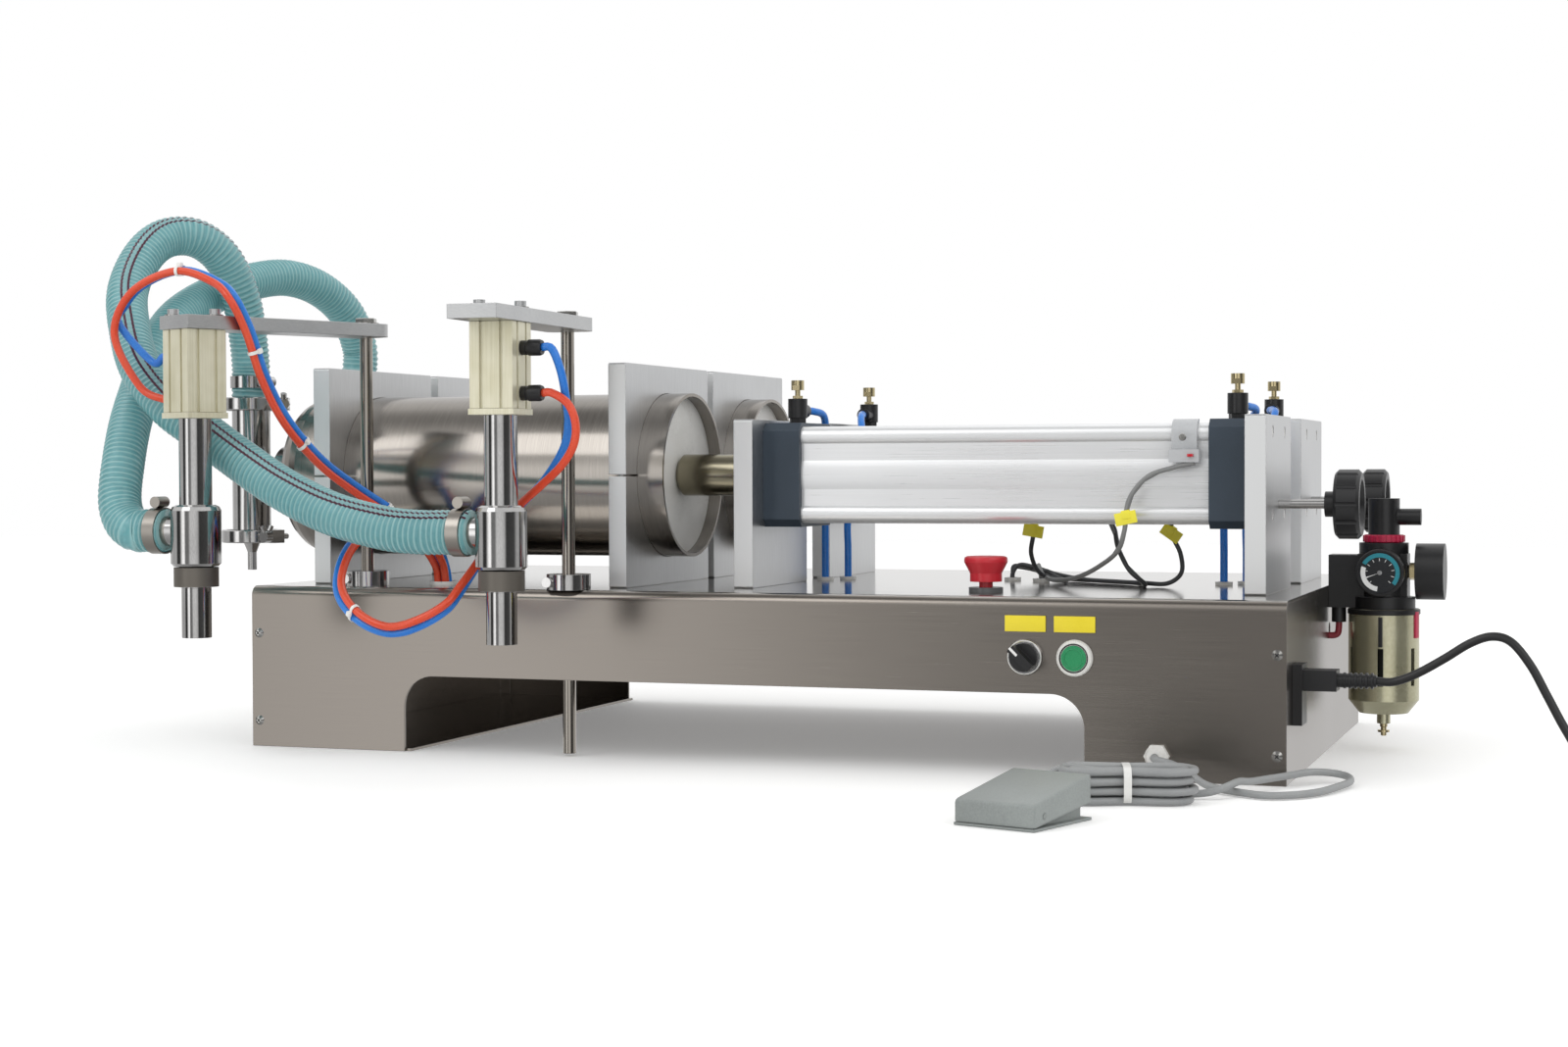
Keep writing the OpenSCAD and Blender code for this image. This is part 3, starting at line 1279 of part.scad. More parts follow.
// Pedal lead: down from the gland, round in a flat loop, a hank in four layers, and on to the pedal
hank_centre = [856, -133];
hank_turn = 15;
hank_loops = 2;
hank_layers = 4;
hank_half = 31;
hank_inner = 9;
hank_waist = 4.6;
hank_gap_share = 1.24;
hank_pitch = pedal_cable_d * hank_gap_share;
hank_rings = 20;
hank_low = pedal_cable_d / 2 + loose;
hank_whole = hank_loops * hank_layers;
hank_tail_share = hank_half / (4 * hank_half + 2 * PI * (hank_inner + hank_loops * hank_pitch));
function in_and_out(t) = let (m = ((t % (2 * hank_loops)) + 2 * hank_loops) % (2 * hank_loops))
  t < 0 ? hank_loops - t : t > hank_whole ? hank_loops + t - hank_whole : abs(hank_loops - m);
function drawn_in(u) = abs(u) < hank_half ? hank_waist * (1 + cos(180 * u / hank_half)) / 2 : 0;
function hank_run(s, r) =
  let (run = 2 * hank_half, arc = PI * r)
  s < run / 2 ? [-s, r]
  : s < run / 2 + arc ? let (a = 90 + 180 * (s - run / 2) / arc) [-hank_half + r * cos(a), r * sin(a)]
  : s < 1.5 * run + arc ? [s - run - arc, -r]
  : s < 1.5 * run + 2 * arc ? let (a = 180 * (s - 1.5 * run - arc) / arc - 90) [hank_half + r * cos(a), r * sin(a)]
  : [2 * run + 2 * arc - s, r];
function on_hank(u, v, z) = [
  hank_centre[0] + u * cos(hank_turn) - v * sin(hank_turn),
  hank_centre[1] + u * sin(hank_turn) + v * cos(hank_turn), z
];
function hank_point(t) =
  let (r = hank_inner + hank_pitch * in_and_out(t), f = t - floor(t))
  let (p = hank_run(f * (4 * hank_half + 2 * PI * r), r), v = p[1] - sign(p[1]) * drawn_in(p[0]))
  let (layer = climb(t, hank_loops) + climb(t, 2 * hank_loops) + climb(t, 3 * hank_loops))
  on_hank(p[0], v, hank_low + hank_pitch * layer);
hank_fine = 48;
hank_curve = [
  for (k = [0 : hank_whole * hank_fine + 2 * floor(hank_tail_share * hank_fine)])
    hank_point(k / hank_fine - floor(hank_tail_share * hank_fine) / hank_fine)
];
hank_way = on_hank(1, 0, 0) - on_hank(0, 0, 0);
hank_first = hank_curve[0] + pedal_cable_d * hank_way;
hank_last = hank_curve[len(hank_curve) - 1] - pedal_cable_d * hank_way;
hank_path = concat([hank_first], evenly(hank_curve, hank_whole * hank_rings), [hank_last]);
module pedal_hank() place() color("gray") {
  echo("least gap of the pedal hank to itself", least_gap(hank_path, pedal_cable_d));
  tube(hank_path, pedal_cable_d / 2, 6);
}
gland_route = [
  [857, -20, 20.5], [873, -29, 18], [889, -40, 12], [903, -52, 6], [917, -62, 4], [935, -74, 3.5], [955, -85, 3.5],
  [975, -76, 3.5], [992, -52, 3.5], [1004, -14, 4], [1009, 14, 4.5], [1005, 32, 6], [992, 36, 8], [977, 20, 10],
  [965, -4, 10], [949, -26, 9], [938, -47, 9], [932, -66, 11], [925, -86, 9], [912, -94, 5]
];
tail_route = [
  [798, -126, 21], [788, -138, 14], [789, -154, 8], [799, -168, 4.5], [809, -180, 4.5]
];
pedal_ahead = [-sin(pedal_turn), cos(pedal_turn), 0];
pedal_exit_at = [
  pedal_place[0] + pedal_exit * cos(pedal_turn) - (pedal_length + pedal_boss_proud) * sin(pedal_turn),
  pedal_place[1] + pedal_exit * sin(pedal_turn) + (pedal_length + pedal_boss_proud) * cos(pedal_turn), pedal_cable_d
];
module pedal_cable() place() color("gray") {
  lead(concat(
    [[gland_x, -gland_length, gland_z], [gland_x, -gland_length - cut, gland_z]], gland_route,
    [hank_first + pedal_cable_d * hank_way, hank_first]
  ), 32, pedal_cable_d);
  lead(concat(
    [hank_last, hank_last - pedal_cable_d * hank_way], tail_route,
    [pedal_exit_at + 2 * pedal_cable_d * pedal_ahead, pedal_exit_at + pedal_cable_d * pedal_ahead, pedal_exit_at]
  ), 12, pedal_cable_d);
}

// Filter and regulator on the right end cover
supply_entry = [frame_length, filter_y - elbow_r, 110];
module filter_body() place() color("black") {
  difference() {
    union() {
      rod_z(filter_x, filter_y, filter_body_low, filter_body_r, filter_body_top - filter_body_low);
      rod_z(filter_x, filter_y, filter_body_low, filter_collar_r, filter_collar);
      translate([filter_x - filter_body_r, filter_y - bracket_depth / 2, filter_body_low + cut])
        cube([2 * filter_body_r, bracket_depth, bracket_high - filter_body_low]);
    }
    rod_z(filter_x, filter_y, filter_body_top - 2 * needle_depth, stem_fit_r + running, 3 * needle_depth);
    rod_y(filter_x, filter_y - filter_body_r - cut, gauge_z, gauge_stem_r + seat, filter_body_r / 2 + cut);
    rod_x(filter_x + filter_body_r / 2, filter_y, gauge_z, gauge_stem_r + seat, filter_body_r);
  }
  translate([frame_length + running, filter_y - bracket_depth / 2, bracket_low])
    cube([filter_x - filter_body_r - frame_length - 2 * running, bracket_depth, bracket_high - bracket_low]);
  rod_z(frame_length + elbow_r + 2 * cut, supply_entry[1], supply_entry[2] + elbow_r, elbow_r,
    bracket_low - supply_entry[2] - elbow_r - running);
}
module filter_bowl() place() color("beige") {
  difference() {
    union() {
      rod_z(filter_x, filter_y, bowl_low + bowl_foot, bowl_r, filter_body_low - bowl_low - bowl_foot - running);
      translate([filter_x, filter_y, bowl_low]) cylinder(r1 = bowl_foot_r, r2 = bowl_r, h = bowl_foot);
    }
    rod_z(filter_x, filter_y, bowl_low + bowl_foot, bowl_r - bowl_wall, filter_body_low);
    for (k = [0 : slot_count - 1]) translate([filter_x, filter_y, slot_z]) rotate([0, 0, 360 * (k + 0.5) / slot_count])
      translate([bowl_r - 2 * bowl_wall, -slot_w / 2, 0]) cube([3 * bowl_wall, slot_w, slot_h]);
  }
  rod_z(filter_x, filter_y, bowl_low + bowl_foot + seat, bowl_r - 2 * bowl_wall,
    filter_body_low - bowl_low - bowl_foot - 2 * seat);
  rod_z(filter_x, filter_y, bowl_low - drain, drain_r, drain - running);
}
module pressure_gauges() place() color("black") {
  rod_y(filter_x, filter_y - filter_body_r - gauge_depth - loose, gauge_z, gauge_r, gauge_depth);
  rod_y(filter_x, filter_y - filter_body_r - cut, gauge_z, gauge_stem_r, filter_body_r / 2);
  rod_x(filter_x + filter_body_r + stub_length, filter_y, gauge_z, side_gauge_r, side_gauge_depth);
  rod_x(filter_x + filter_body_r - filter_body_r / 3, filter_y, gauge_z, gauge_stem_r, stub_length + filter_body_r / 2);
}
module regulator_knob() place() color("black") {
  rod_z(filter_x, filter_y, filter_body_top + loose, ring_r, ring_height);
  rod_z(filter_x, filter_y, filter_body_top + loose, reg_knob_r, ring_height + reg_knob_height);
  rod_z(filter_x, filter_y, filter_body_top - needle_depth, stem_fit_r, needle_depth + cut);
  rod_x(filter_x, filter_y, filter_body_top + ring_height + reg_knob_height / 2, reg_grip_r, reg_grip);
}

// Product hoses: from each valve up and over to the side port of its nozzle
hose_left_route = [
  [-1, -135.9, 205], [-14, -135.9, 205], [-26, -135.9, 205], [-34, -135.9, 205.4], [-50, -129, 214],
  [-62, -119, 232], [-71, -101, 262], [-85, -69, 300],
  [-99, -30, 336], [-111, 9, 371], [-125, 70, 408], [-133, 147, 436], [-129, 214, 454], [-119, 266, 461],
  [-107, 312, 452], [-97, 350, 428], [-95, 374.6, 393], [-95, 374.6, 362], [-95, 374.6, 331]
];
hose_right_route = [
  [-95, 154, 331], [-95, 154, 347], [-95, 154, 365], [-94, 147, 396], [-91, 129, 433],
  [-96, 106, 468], [-109, 79, 486],
  [-125, 51, 484], [-129, 18, 463], [-122, -17, 427], [-99, -47, 388], [-70, -72, 350], [-30, -86, 315],
  [8, -90, 292], [51, -98, 267], [102, -110, 241], [159, -124, 220], [215, -132, 208], [250, -134.9, 205],
  [267, -134.9, 205], [284, -134.9, 205], [299, -134.9, 205]
];
module product_hose_left() place() color("cadetblue") ribbed_hose(hose_left_route, 68);
module product_hose_right() place() color("cadetblue") ribbed_hose(hose_right_route, 70);

// Air tubes
red_left_route = [
  [-6.3, -120.5, 322], [-17, -115.7, 322], [-42, -116, 334], [-64, -122, 380], [-47, -120, 418], [-5, -115, 436],
  [37, -121, 425], [61, -130, 408], [68, -115, 379], [74, -101, 340], [84, -79, 300], [99, -44, 263],
  [116, -5, 236], [135, 26, 214], [149, 52, 190], [157.5, 67, 168], [158.6, 70.2, 152], [158.6, 70.2, 143]
];
red_right_route = [
  [363.4, -133.2, 322], [372, -132.8, 322], [386, -132, 313], [392, -130, 297], [390, -129, 279], [377, -124, 262],
  [354, -113, 246], [326, -104, 226], [304, -104, 201], [291, -112, 178], [283, -126, 160], [276, -140, 145],
  [256, -150, 132], [228, -150, 125], [201, -145, 132], [177, -134, 147], [163, -118, 164], [160, -96, 187],
  [164, -70, 202], [170, -36, 208], [173, 0, 202], [171, 36, 188], [168, 62, 170], [166.6, 70.2, 152],
  [166.6, 70.2, 143]
];
blue_left_start = [[-6.3, -120.5, 360], [-17, -115.7, 360], [-34, -108, 356]];
blue_right_start = [
  [363.4, -133.2, 360], [372, -132.8, 359], [379, -130, 340], [381, -124, 316], [380, -118, 296], [372, -111, 275],
  [351, -104, 249], [325, -95.5, 228]
];
air_pair_gap = 1.2;
function beside(c, d, turns) = let (n = sides_of(c), last = len(c) - 1) [
  for (i = [0 : last]) let (a = turns[0] + (turns[1] - turns[0]) * i / last)
    c[i] + d * (cos(a) * n[i] + sin(a) * cross(heading(c, i), n[i]))
];
module blue_beside(start, route, rings, from, turns) {
  c = beside(evenly(smooth(route, lead_steps), rings), air_tube_d + air_pair_gap, turns);
  lead(concat(start, [for (i = [from : rings]) c[i]]), rings, air_tube_d);
}
cap_tube_lean = 4;
function cap_tube(i, y, drop) = let (s = y < middle_y ? 1 : -1, x = cap_middle(i), z = cap_top + elbow_rise) [
  [x, y + s * elbow_length, z], [x, y + s * cap_tube_out[0], z],
  [x + cap_tube_lean, y + s * cap_tube_out[1], z],
  [x + 2 * cap_tube_lean, y + s * cap_tube_out[2], z - cap_tube_down[0]],
  [(x + drop[0]) / 2 + 2 * cap_tube_lean, y + s * cap_tube_out[3], z - cap_tube_down[1]],
  [drop[0] + cap_tube_lean, (y + s * cap_tube_out[4] + drop[1]) / 2, z - cap_tube_down[2]],
  [drop[0], drop[1], deck + cap_tube_down[2]], [drop[0], drop[1], deck + cap_tube_down[2] / 2],
  [drop[0], drop[1], deck - sheet - cap_tube_lean]
];
cap_tube_out = [26, 34, 52, 68, 78];
cap_tube_down = [4, 22, 60];
module red_air_tubes() place() color("orangered") {
  lead(red_left_route, 38, air_tube_d);
  lead(red_right_route, 44, air_tube_d);
}
module blue_air_tubes() place() color("dodgerblue") {
  blue_beside(blue_left_start, red_left_route, 36, 6, [60, 45]);
  blue_beside(blue_right_start, red_right_route, 42, 12, [-150, 168]);
  for (i = [0, 1]) for (j = [0, 1]) lead(cap_tube(i, axes[j], deck_tube_drops[2 * i + j]), 16, air_tube_d);
}

frame_shell();
left_end_cover();
right_end_cover();
fasteners();
cylinder_saddles();
cylinder_clamps();
air_plates();
fill_tubes();
cylinder_heads();
valve_tees();
pipe_clamps();
air_caps();
air_barrels();
flow_bodies();
post_collars();
control_bezels();
cable_glands();
reed_sensors();
solenoid_valves();
power_supply();
mains_inlet();
filter_body();
filter_bowl();
pressure_gauges();
pedal_base();
product_hose_left();
product_hose_right();
red_air_tubes();
blue_air_tubes();
mains_cord();
mains_plug();
mains_coil();
wall_plug();
pedal_cable();
pedal_hank();
fill_piston_front();
fill_piston_rear();
piston_rod_front();
piston_rod_rear();
stroke_screw_front();
stroke_screw_rear();
stroke_wheel_front();
stroke_wheel_rear();
post_left();
post_right();
actuator_left();
actuator_right();
nozzle_left();
nozzle_right();
valve_rod_left();
valve_rod_right();
emergency_button();
selector_knob();
start_button();
pedal_lever();
regulator_knob();
needle_front_left();
needle_front_right();
needle_rear_left();
needle_rear_right();
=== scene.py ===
# %% Load the frame and find the machine's corner
import math

import bmesh
import bpy
from mathutils import Matrix, Vector


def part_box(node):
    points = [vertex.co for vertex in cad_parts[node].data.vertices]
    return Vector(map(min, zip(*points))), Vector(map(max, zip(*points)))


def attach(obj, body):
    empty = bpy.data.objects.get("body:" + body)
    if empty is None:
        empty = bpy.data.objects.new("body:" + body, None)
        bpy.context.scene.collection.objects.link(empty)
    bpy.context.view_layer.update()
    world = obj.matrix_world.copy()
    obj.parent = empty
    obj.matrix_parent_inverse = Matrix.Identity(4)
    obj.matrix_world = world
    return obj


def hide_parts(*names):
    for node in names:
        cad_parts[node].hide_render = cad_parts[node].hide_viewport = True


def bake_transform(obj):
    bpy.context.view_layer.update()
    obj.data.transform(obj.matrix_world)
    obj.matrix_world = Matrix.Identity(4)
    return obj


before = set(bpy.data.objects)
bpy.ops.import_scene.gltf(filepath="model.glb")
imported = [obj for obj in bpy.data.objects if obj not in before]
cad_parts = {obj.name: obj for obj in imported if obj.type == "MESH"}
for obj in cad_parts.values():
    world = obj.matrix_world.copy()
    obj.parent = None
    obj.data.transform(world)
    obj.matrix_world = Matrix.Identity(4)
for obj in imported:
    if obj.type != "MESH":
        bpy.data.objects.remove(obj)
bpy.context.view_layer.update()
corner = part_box("frame_shell")[0]
MM = 0.001


def at(x, y, z):
    """A place in metres, from millimetres right, back and up of the frame's front left corner."""
    return corner + Vector((x, y, z)) * MM


print("CAD nodes:", len(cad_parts), "corner of the frame:", tuple(round(c, 4) for c in corner))

# %% [markdown]
# The camera repeats the photograph. It stood about two metres in front of the machine and a little to the
# right, at the height of the cylinders, and looked slightly left. Its frame is 1600 pixels wide, so a focal
# length in pixels turns into millimetres on Blender's 36 mm sensor.

# %% Camera
camera_place = (1230.9, -1979.7, 257.7)
camera_yaw, camera_pitch, camera_roll = (math.radians(a) for a in (19.495, -1.281, -0.189))
focal_pixels, picture_pixels, sensor_mm = 2477.4, 1600, 36

ahead = Vector((
    -math.sin(camera_yaw) * math.cos(camera_pitch),
    math.cos(camera_yaw) * math.cos(camera_pitch),
    math.sin(camera_pitch),
))
level = Vector((math.cos(camera_yaw), math.sin(camera_yaw), 0))
above = level.cross(ahead)
right = math.cos(camera_roll) * level + math.sin(camera_roll) * above
up = math.cos(camera_roll) * above - math.sin(camera_roll) * level
camera = bpy.data.objects.new("camera", bpy.data.cameras.new("camera"))
bpy.context.scene.collection.objects.link(camera)
camera.matrix_world = Matrix.Translation(at(*camera_place)) @ Matrix((right, up, -ahead)).transposed().to_4x4()
camera.data.sensor_width = sensor_mm
camera.data.lens = sensor_mm * focal_pixels / picture_pixels
camera.data.clip_end = 50
bpy.context.scene.camera = camera
bpy.context.scene.view_settings.view_transform = "Standard"
print("lens", round(camera.data.lens, 2), "mm")

# %% [markdown]
# Every cord, hose and air tube is a round section carried along a smooth line. The line runs through listed points
# and is divided evenly. Each ring of the tube turns as little as it can from the one before, so the wall never
# twists, and its UV map says how far round and how far along each point is. One function lays faces over rings
# of points, here and for the small turned pieces further on.

# %% Lines and tubes
def smooth(points, steps):
    """A line through all the points, with that many steps from each to the next."""
    p = [Vector(q) for q in points]
    line = []
    for i in range(len(p) - 1):
        a, b, c, d = p[max(i - 1, 0)], p[i], p[i + 1], p[min(i + 2, len(p) - 1)]
        for k in range(steps):
            t = k / steps
            line.append(
                b + (c - a) * t / 2 + (2 * a - 5 * b + 4 * c - d) * t**2 / 2 + (3 * b - a - 3 * c + d) * t**3 / 2
            )
    return line + [p[-1]]


def run_of(line):
    """How far along the line each of its points lies."""
    run = [0.0]
    for a, b in zip(line, line[1:]):
        run.append(run[-1] + (b - a).length)
    return run


def evenly(line, count):
    """The same line in that many equal steps."""
    run = run_of(line)
    out, i = [], 0
    for k in range(count + 1):
        s = run[-1] * k / count
        while i < len(run) - 2 and run[i + 1] < s:
            i += 1
        share = (s - run[i]) / max(run[i + 1] - run[i], 1e-9)
        out.append(line[i].lerp(line[i + 1], min(1, share)))
    return out


def sections(line):
    """A heading and two directions across it for every point of the line."""
    out, side = [], Vector((0.3, 0.5, 0.81))
    for i, p in enumerate(line):
        ahead = (line[min(i + 1, len(line) - 1)] - line[max(i - 1, 0)]).normalized()
        side = (side - ahead * side.dot(ahead)).normalized()
        out.append((ahead, side, ahead.cross(side)))
    return out


def make_mesh(name, points, faces, flat=False):
    """A new piece from points in metres and faces."""
    mesh = bpy.data.meshes.new(name)
    mesh.from_pydata([tuple(p) for p in points], [], faces)
    mesh.validate()
    if not flat:
        mesh.polygons.foreach_set("use_smooth", [True] * len(mesh.polygons))
    piece = bpy.data.objects.new(name, mesh)
    bpy.context.scene.collection.objects.link(piece)
    return piece


def skin(rings, closed=False):
    """Points and faces over rings of points. The last ring joins the first if closed, else both ends get a cap."""
    sides, faces = len(rings[0]), []
    for i in range(len(rings) if closed else len(rings) - 1):
        n = (i + 1) % len(rings)
        for k in range(sides):
            j = (k + 1) % sides
            faces.append((i * sides + k, i * sides + j, n * sides + j, n * sides + k))
    if not closed:
        faces.append(tuple(reversed(range(sides))))
        faces.append(tuple((len(rings) - 1) * sides + k for k in range(sides)))
    return [p for ring in rings for p in ring], faces


def sweep(name, line, radius, sides=16, ripple=None):
    """A tube along a line in metres. ripple gives the radius at a share of the turn and a distance along."""
    run = run_of(line)
    rings, uvs = [], []
    for so_far, p, (ahead, side, across) in zip(run, line, sections(line)):
        ring = []
        for k in range(sides):
            turn = 2 * math.pi * k / sides
            r = ripple(k / sides, so_far) if ripple else radius
            ring.append(p + r * (math.cos(turn) * side + math.sin(turn) * across))
        rings.append(ring)
    for near, far in zip(run, run[1:]):
        for k in range(sides):
            u, w = k / sides, (k + 1) / sides
            uvs += [(u, near), (w, near), (w, far), (u, far)]
    uvs += [(0, 0)] * (2 * sides)
    piece = make_mesh(name, *skin(rings))
    uv_map = piece.data.uv_layers.new(name="along")
    uv_map.data.foreach_set("uv", [c for uv in uvs for c in uv])
    return piece


# %% [markdown]
# The mains lead leaves its moulded plug, rises over the bench, comes down and ends in a neat coil: three turns
# inwards, a climb, three turns outwards on top, and the wall plug. The coil lies just past the picture's edge.

# %% Mains lead
mains_d = 7
mains_route = [
    (1040, 47.5, 83), (1058, 46, 90), (1080, 43, 103), (1100, 40, 116), (1117, 38, 122),
    (1132, 36, 118), (1147, 33, 100), (1160, 30, 76), (1174, 26, 50), (1190, 20, 26), (1212, 8, 9),
    (1236, -4, 4),
]
coil_centre = (1275, 42)
coil_turns, coil_rings = 3, 48
coil_inner, coil_run_out, coil_pitch = 26, 40, mains_d * 1.1
cord_lift = 0.3


def climb(t, middle):
    """Rises from 0 to 1 over the half turn round the middle."""
    return min(1, max(0, (t - middle + 0.25) * 2))


def coil_point(t):
    """A place on the coil's middle line after t turns."""
    turn = 2 * math.pi * t - math.pi / 2
    r = coil_inner + coil_pitch * abs(coil_turns - t)
    z = mains_d / 2 + cord_lift + coil_pitch * climb(t, coil_turns)
    return Vector((coil_centre[0] + r * math.cos(turn), coil_centre[1] + r * math.sin(turn), z))


plug_low, plug_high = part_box("mains_plug")
plug_axis = (Vector((0, (plug_low.y + plug_high.y) / 2, (plug_low.z + plug_high.z) / 2)) - corner) / MM
plug_end = (plug_high.x - corner.x) / MM
plug_start = plug_end - 2 * mains_d
along_x = Vector((mains_d, 0, 0))
coil_first = coil_point(0) - along_x
coil_last = coil_point(2 * coil_turns) + Vector((coil_run_out, 0, 0))
mains_points = [
    (plug_start, plug_axis.y, plug_axis.z), (plug_end, plug_axis.y, plug_axis.z), *mains_route,
    coil_first - 2 * along_x, coil_first - along_x, coil_first,
]
mains_line = smooth(mains_points, 8)
mains_line += [coil_point(k / coil_rings) for k in range(2 * coil_turns * coil_rings + 1)]
mains_line += [coil_last - along_x, coil_last]
mains_line = [at(*p) for p in mains_line]
mains_lead = sweep("mains_lead", mains_line, mains_d / 2 * MM, sides=14)
print("mains lead", round(run_of(mains_line)[-1], 3), "m")

# %% [markdown]
# The pedal's lead is limper. It drops out of the white gland, makes one wide loop on the bench, runs four
# layers of a hank that a tie draws in at the waist, and goes into the pedal. All its turns are one tube.

# %% Pedal lead
pedal_cable_d = 6
hank_centre = (856, -133)
hank_turn = math.radians(15)
hank_loops, hank_layers = 2, 4
hank_half, hank_inner, hank_waist, hank_pitch = 31, 9, 4.6, pedal_cable_d * 1.24
hank_whole = hank_loops * hank_layers
hank_tail = hank_half / (4 * hank_half + 2 * math.pi * (hank_inner + hank_loops * hank_pitch))
hank_fine, hank_rings = 48, 40
gland_route = [
    (857, -20, 20.5), (873, -29, 18), (889, -40, 12), (903, -52, 6), (917, -62, 4), (935, -74, 3.5),
    (955, -85, 3.5), (975, -76, 3.5), (992, -52, 3.5), (1004, -14, 4), (1009, 14, 4.5), (1005, 32, 6),
    (992, 36, 8), (977, 20, 10), (965, -4, 10), (949, -26, 9), (938, -47, 9), (932, -66, 11), (925, -86, 9),
    (912, -94, 5),
]
tail_route = [(798, -126, 21), (788, -138, 14), (789, -154, 8), (799, -168, 4.5), (809, -180, 4.5)]
pedal_place = (761, -286)
pedal_turn = math.radians(-18)
pedal_exit = (18, 83)


def hank_run(s, r):
    """A place on one loop of the hank, s along it from the middle of its upper run."""
    run, arc = 2 * hank_half, math.pi * r
    if s < run / 2:
        return -s, r
    if s < run / 2 + arc:
        turn = math.pi / 2 + (s - run / 2) / r
        return -hank_half + r * math.cos(turn), r * math.sin(turn)
    if s < 1.5 * run + arc:
        return s - run - arc, -r
    if s < 1.5 * run + 2 * arc:
        turn = (s - 1.5 * run - arc) / r - math.pi / 2
        return hank_half + r * math.cos(turn), r * math.sin(turn)
    return 2 * run + 2 * arc - s, r


def hank_loop(t):
    """Which loop the cable is on after t loops: it spirals out and in again, layer by layer."""
    if t < 0:
        return hank_loops - t
    if t > hank_whole:
        return hank_loops + t - hank_whole
    return abs(hank_loops - t % (2 * hank_loops))


def on_hank(u, v):
    """Where a place along and across the hank, from its middle, lies on the bench."""
    c, s = math.cos(hank_turn), math.sin(hank_turn)
    return hank_centre[0] + u * c - v * s, hank_centre[1] + u * s + v * c


def hank_point(t):
    """A place on the hank's middle line after t loops."""
    r = hank_inner + hank_pitch * hank_loop(t)
    u, v = hank_run((t - math.floor(t)) * (4 * hank_half + 2 * math.pi * r), r)
    if abs(u) < hank_half:
        v -= math.copysign(hank_waist * (1 + math.cos(math.pi * u / hank_half)) / 2, v)
    layer = sum(climb(t, hank_loops * n) for n in range(1, hank_layers))
    z = pedal_cable_d / 2 + cord_lift + hank_pitch * layer
    return Vector((*on_hank(u, v), z))


def on_pedal(x, y, z):
    """A place on the pedal, from its own front left corner."""
    c, s = math.cos(pedal_turn), math.sin(pedal_turn)
    return Vector((pedal_place[0] + x * c - y * s, pedal_place[1] + x * s + y * c, z))


tail_steps = math.floor(hank_tail * hank_fine)
hank_line = [hank_point((k - tail_steps) / hank_fine) for k in range(hank_whole * hank_fine + 2 * tail_steps + 1)]
hank_way = pedal_cable_d * Vector((math.cos(hank_turn), math.sin(hank_turn), 0))
gland_axis = (855, 21)
gland_face = (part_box("cable_glands")[0].y - corner.y) / MM
pedal_ahead = pedal_cable_d * Vector((-math.sin(pedal_turn), math.cos(pedal_turn), 0))
pedal_end = on_pedal(*pedal_exit, pedal_cable_d)
pedal_line = smooth([
    (gland_axis[0], gland_face + pedal_cable_d, gland_axis[1]), (gland_axis[0], gland_face, gland_axis[1]),
    *gland_route, hank_line[0] + 2 * hank_way, hank_line[0] + hank_way,
], 8)
pedal_line += evenly(hank_line, hank_whole * hank_rings)
pedal_line += smooth([
    hank_line[-1] - hank_way, hank_line[-1] - 2 * hank_way, *tail_route,
    pedal_end + 2 * pedal_ahead, pedal_end + pedal_ahead, pedal_end,
], 8)
pedal_line = [at(*p) for p in pedal_line]
pedal_lead = sweep("pedal_lead", pedal_line, pedal_cable_d / 2 * MM, sides=12)
print("pedal lead", round(run_of(pedal_line)[-1], 3), "m")

# %% [markdown]
# The product hoses are clear teal PVC round a spiral of steel wire. The wall stands proud over each turn of
# the wire, so the radius rises and falls along a true helix about every 5 mm.

# %% Product hoses
hose_d, hose_ring = 38.5, 0.9
wire_pitch, rib_depth = 5.2, 1.3
hose_left_route = [
    (-1, -135.9, 205), (-14, -135.9, 205), (-26, -135.9, 205), (-34, -135.9, 205.4), (-50, -129, 214),
    (-62, -119, 232), (-71, -101, 262), (-85, -69, 300), (-99, -30, 336), (-111, 9, 371), (-125, 70, 408),
    (-133, 147, 436), (-129, 214, 454), (-119, 266, 461), (-107, 312, 452), (-97, 350, 428),
    (-95, 374.6, 393), (-95, 374.6, 362), (-95, 374.6, 331),
]
hose_right_route = [
    (-95, 154, 331), (-95, 154, 347), (-95, 154, 365), (-94, 147, 396), (-91, 129, 433), (-96, 106, 468),
    (-109, 79, 486), (-125, 51, 484), (-129, 18, 463), (-122, -17, 427), (-99, -47, 388), (-70, -72, 350),
    (-30, -86, 315), (8, -90, 292), (51, -98, 267), (102, -110, 241), (159, -124, 220), (215, -132, 208),
    (250, -134.9, 205), (267, -134.9, 205), (284, -134.9, 205), (299, -134.9, 205),
]


def rib(turn_share, along):
    """The hose's radius: full over the wire, lower between its turns."""
    wave = (1 + math.cos(2 * math.pi * (along / (wire_pitch * MM) + turn_share))) / 2
    return (hose_d / 2 - rib_depth * (1 - wave)) * MM


def product_hose(name, route):
    """A ribbed hose along a route, divided finely enough for its ribs."""
    line = [at(*p) for p in smooth(route, 12)]
    line = evenly(line, round(run_of(line)[-1] / (hose_ring * MM)))
    piece = sweep(name, line, None, sides=32, ripple=rib)
    print(name, round(run_of(line)[-1], 3), "m,", len(piece.data.vertices), "points")
    return piece


hose_left = product_hose("ribbed_hose_left", hose_left_route)
hose_right = product_hose("ribbed_hose_right", hose_right_route)

# %% [markdown]
# The air tubes are 6 mm polyurethane, red and blue in pairs, and are drawn 7 mm thick, as the photograph shows
# them fuller. A blue tube follows its red one at a distance and goes slowly round it, so it starts and ends
# where its own port is.

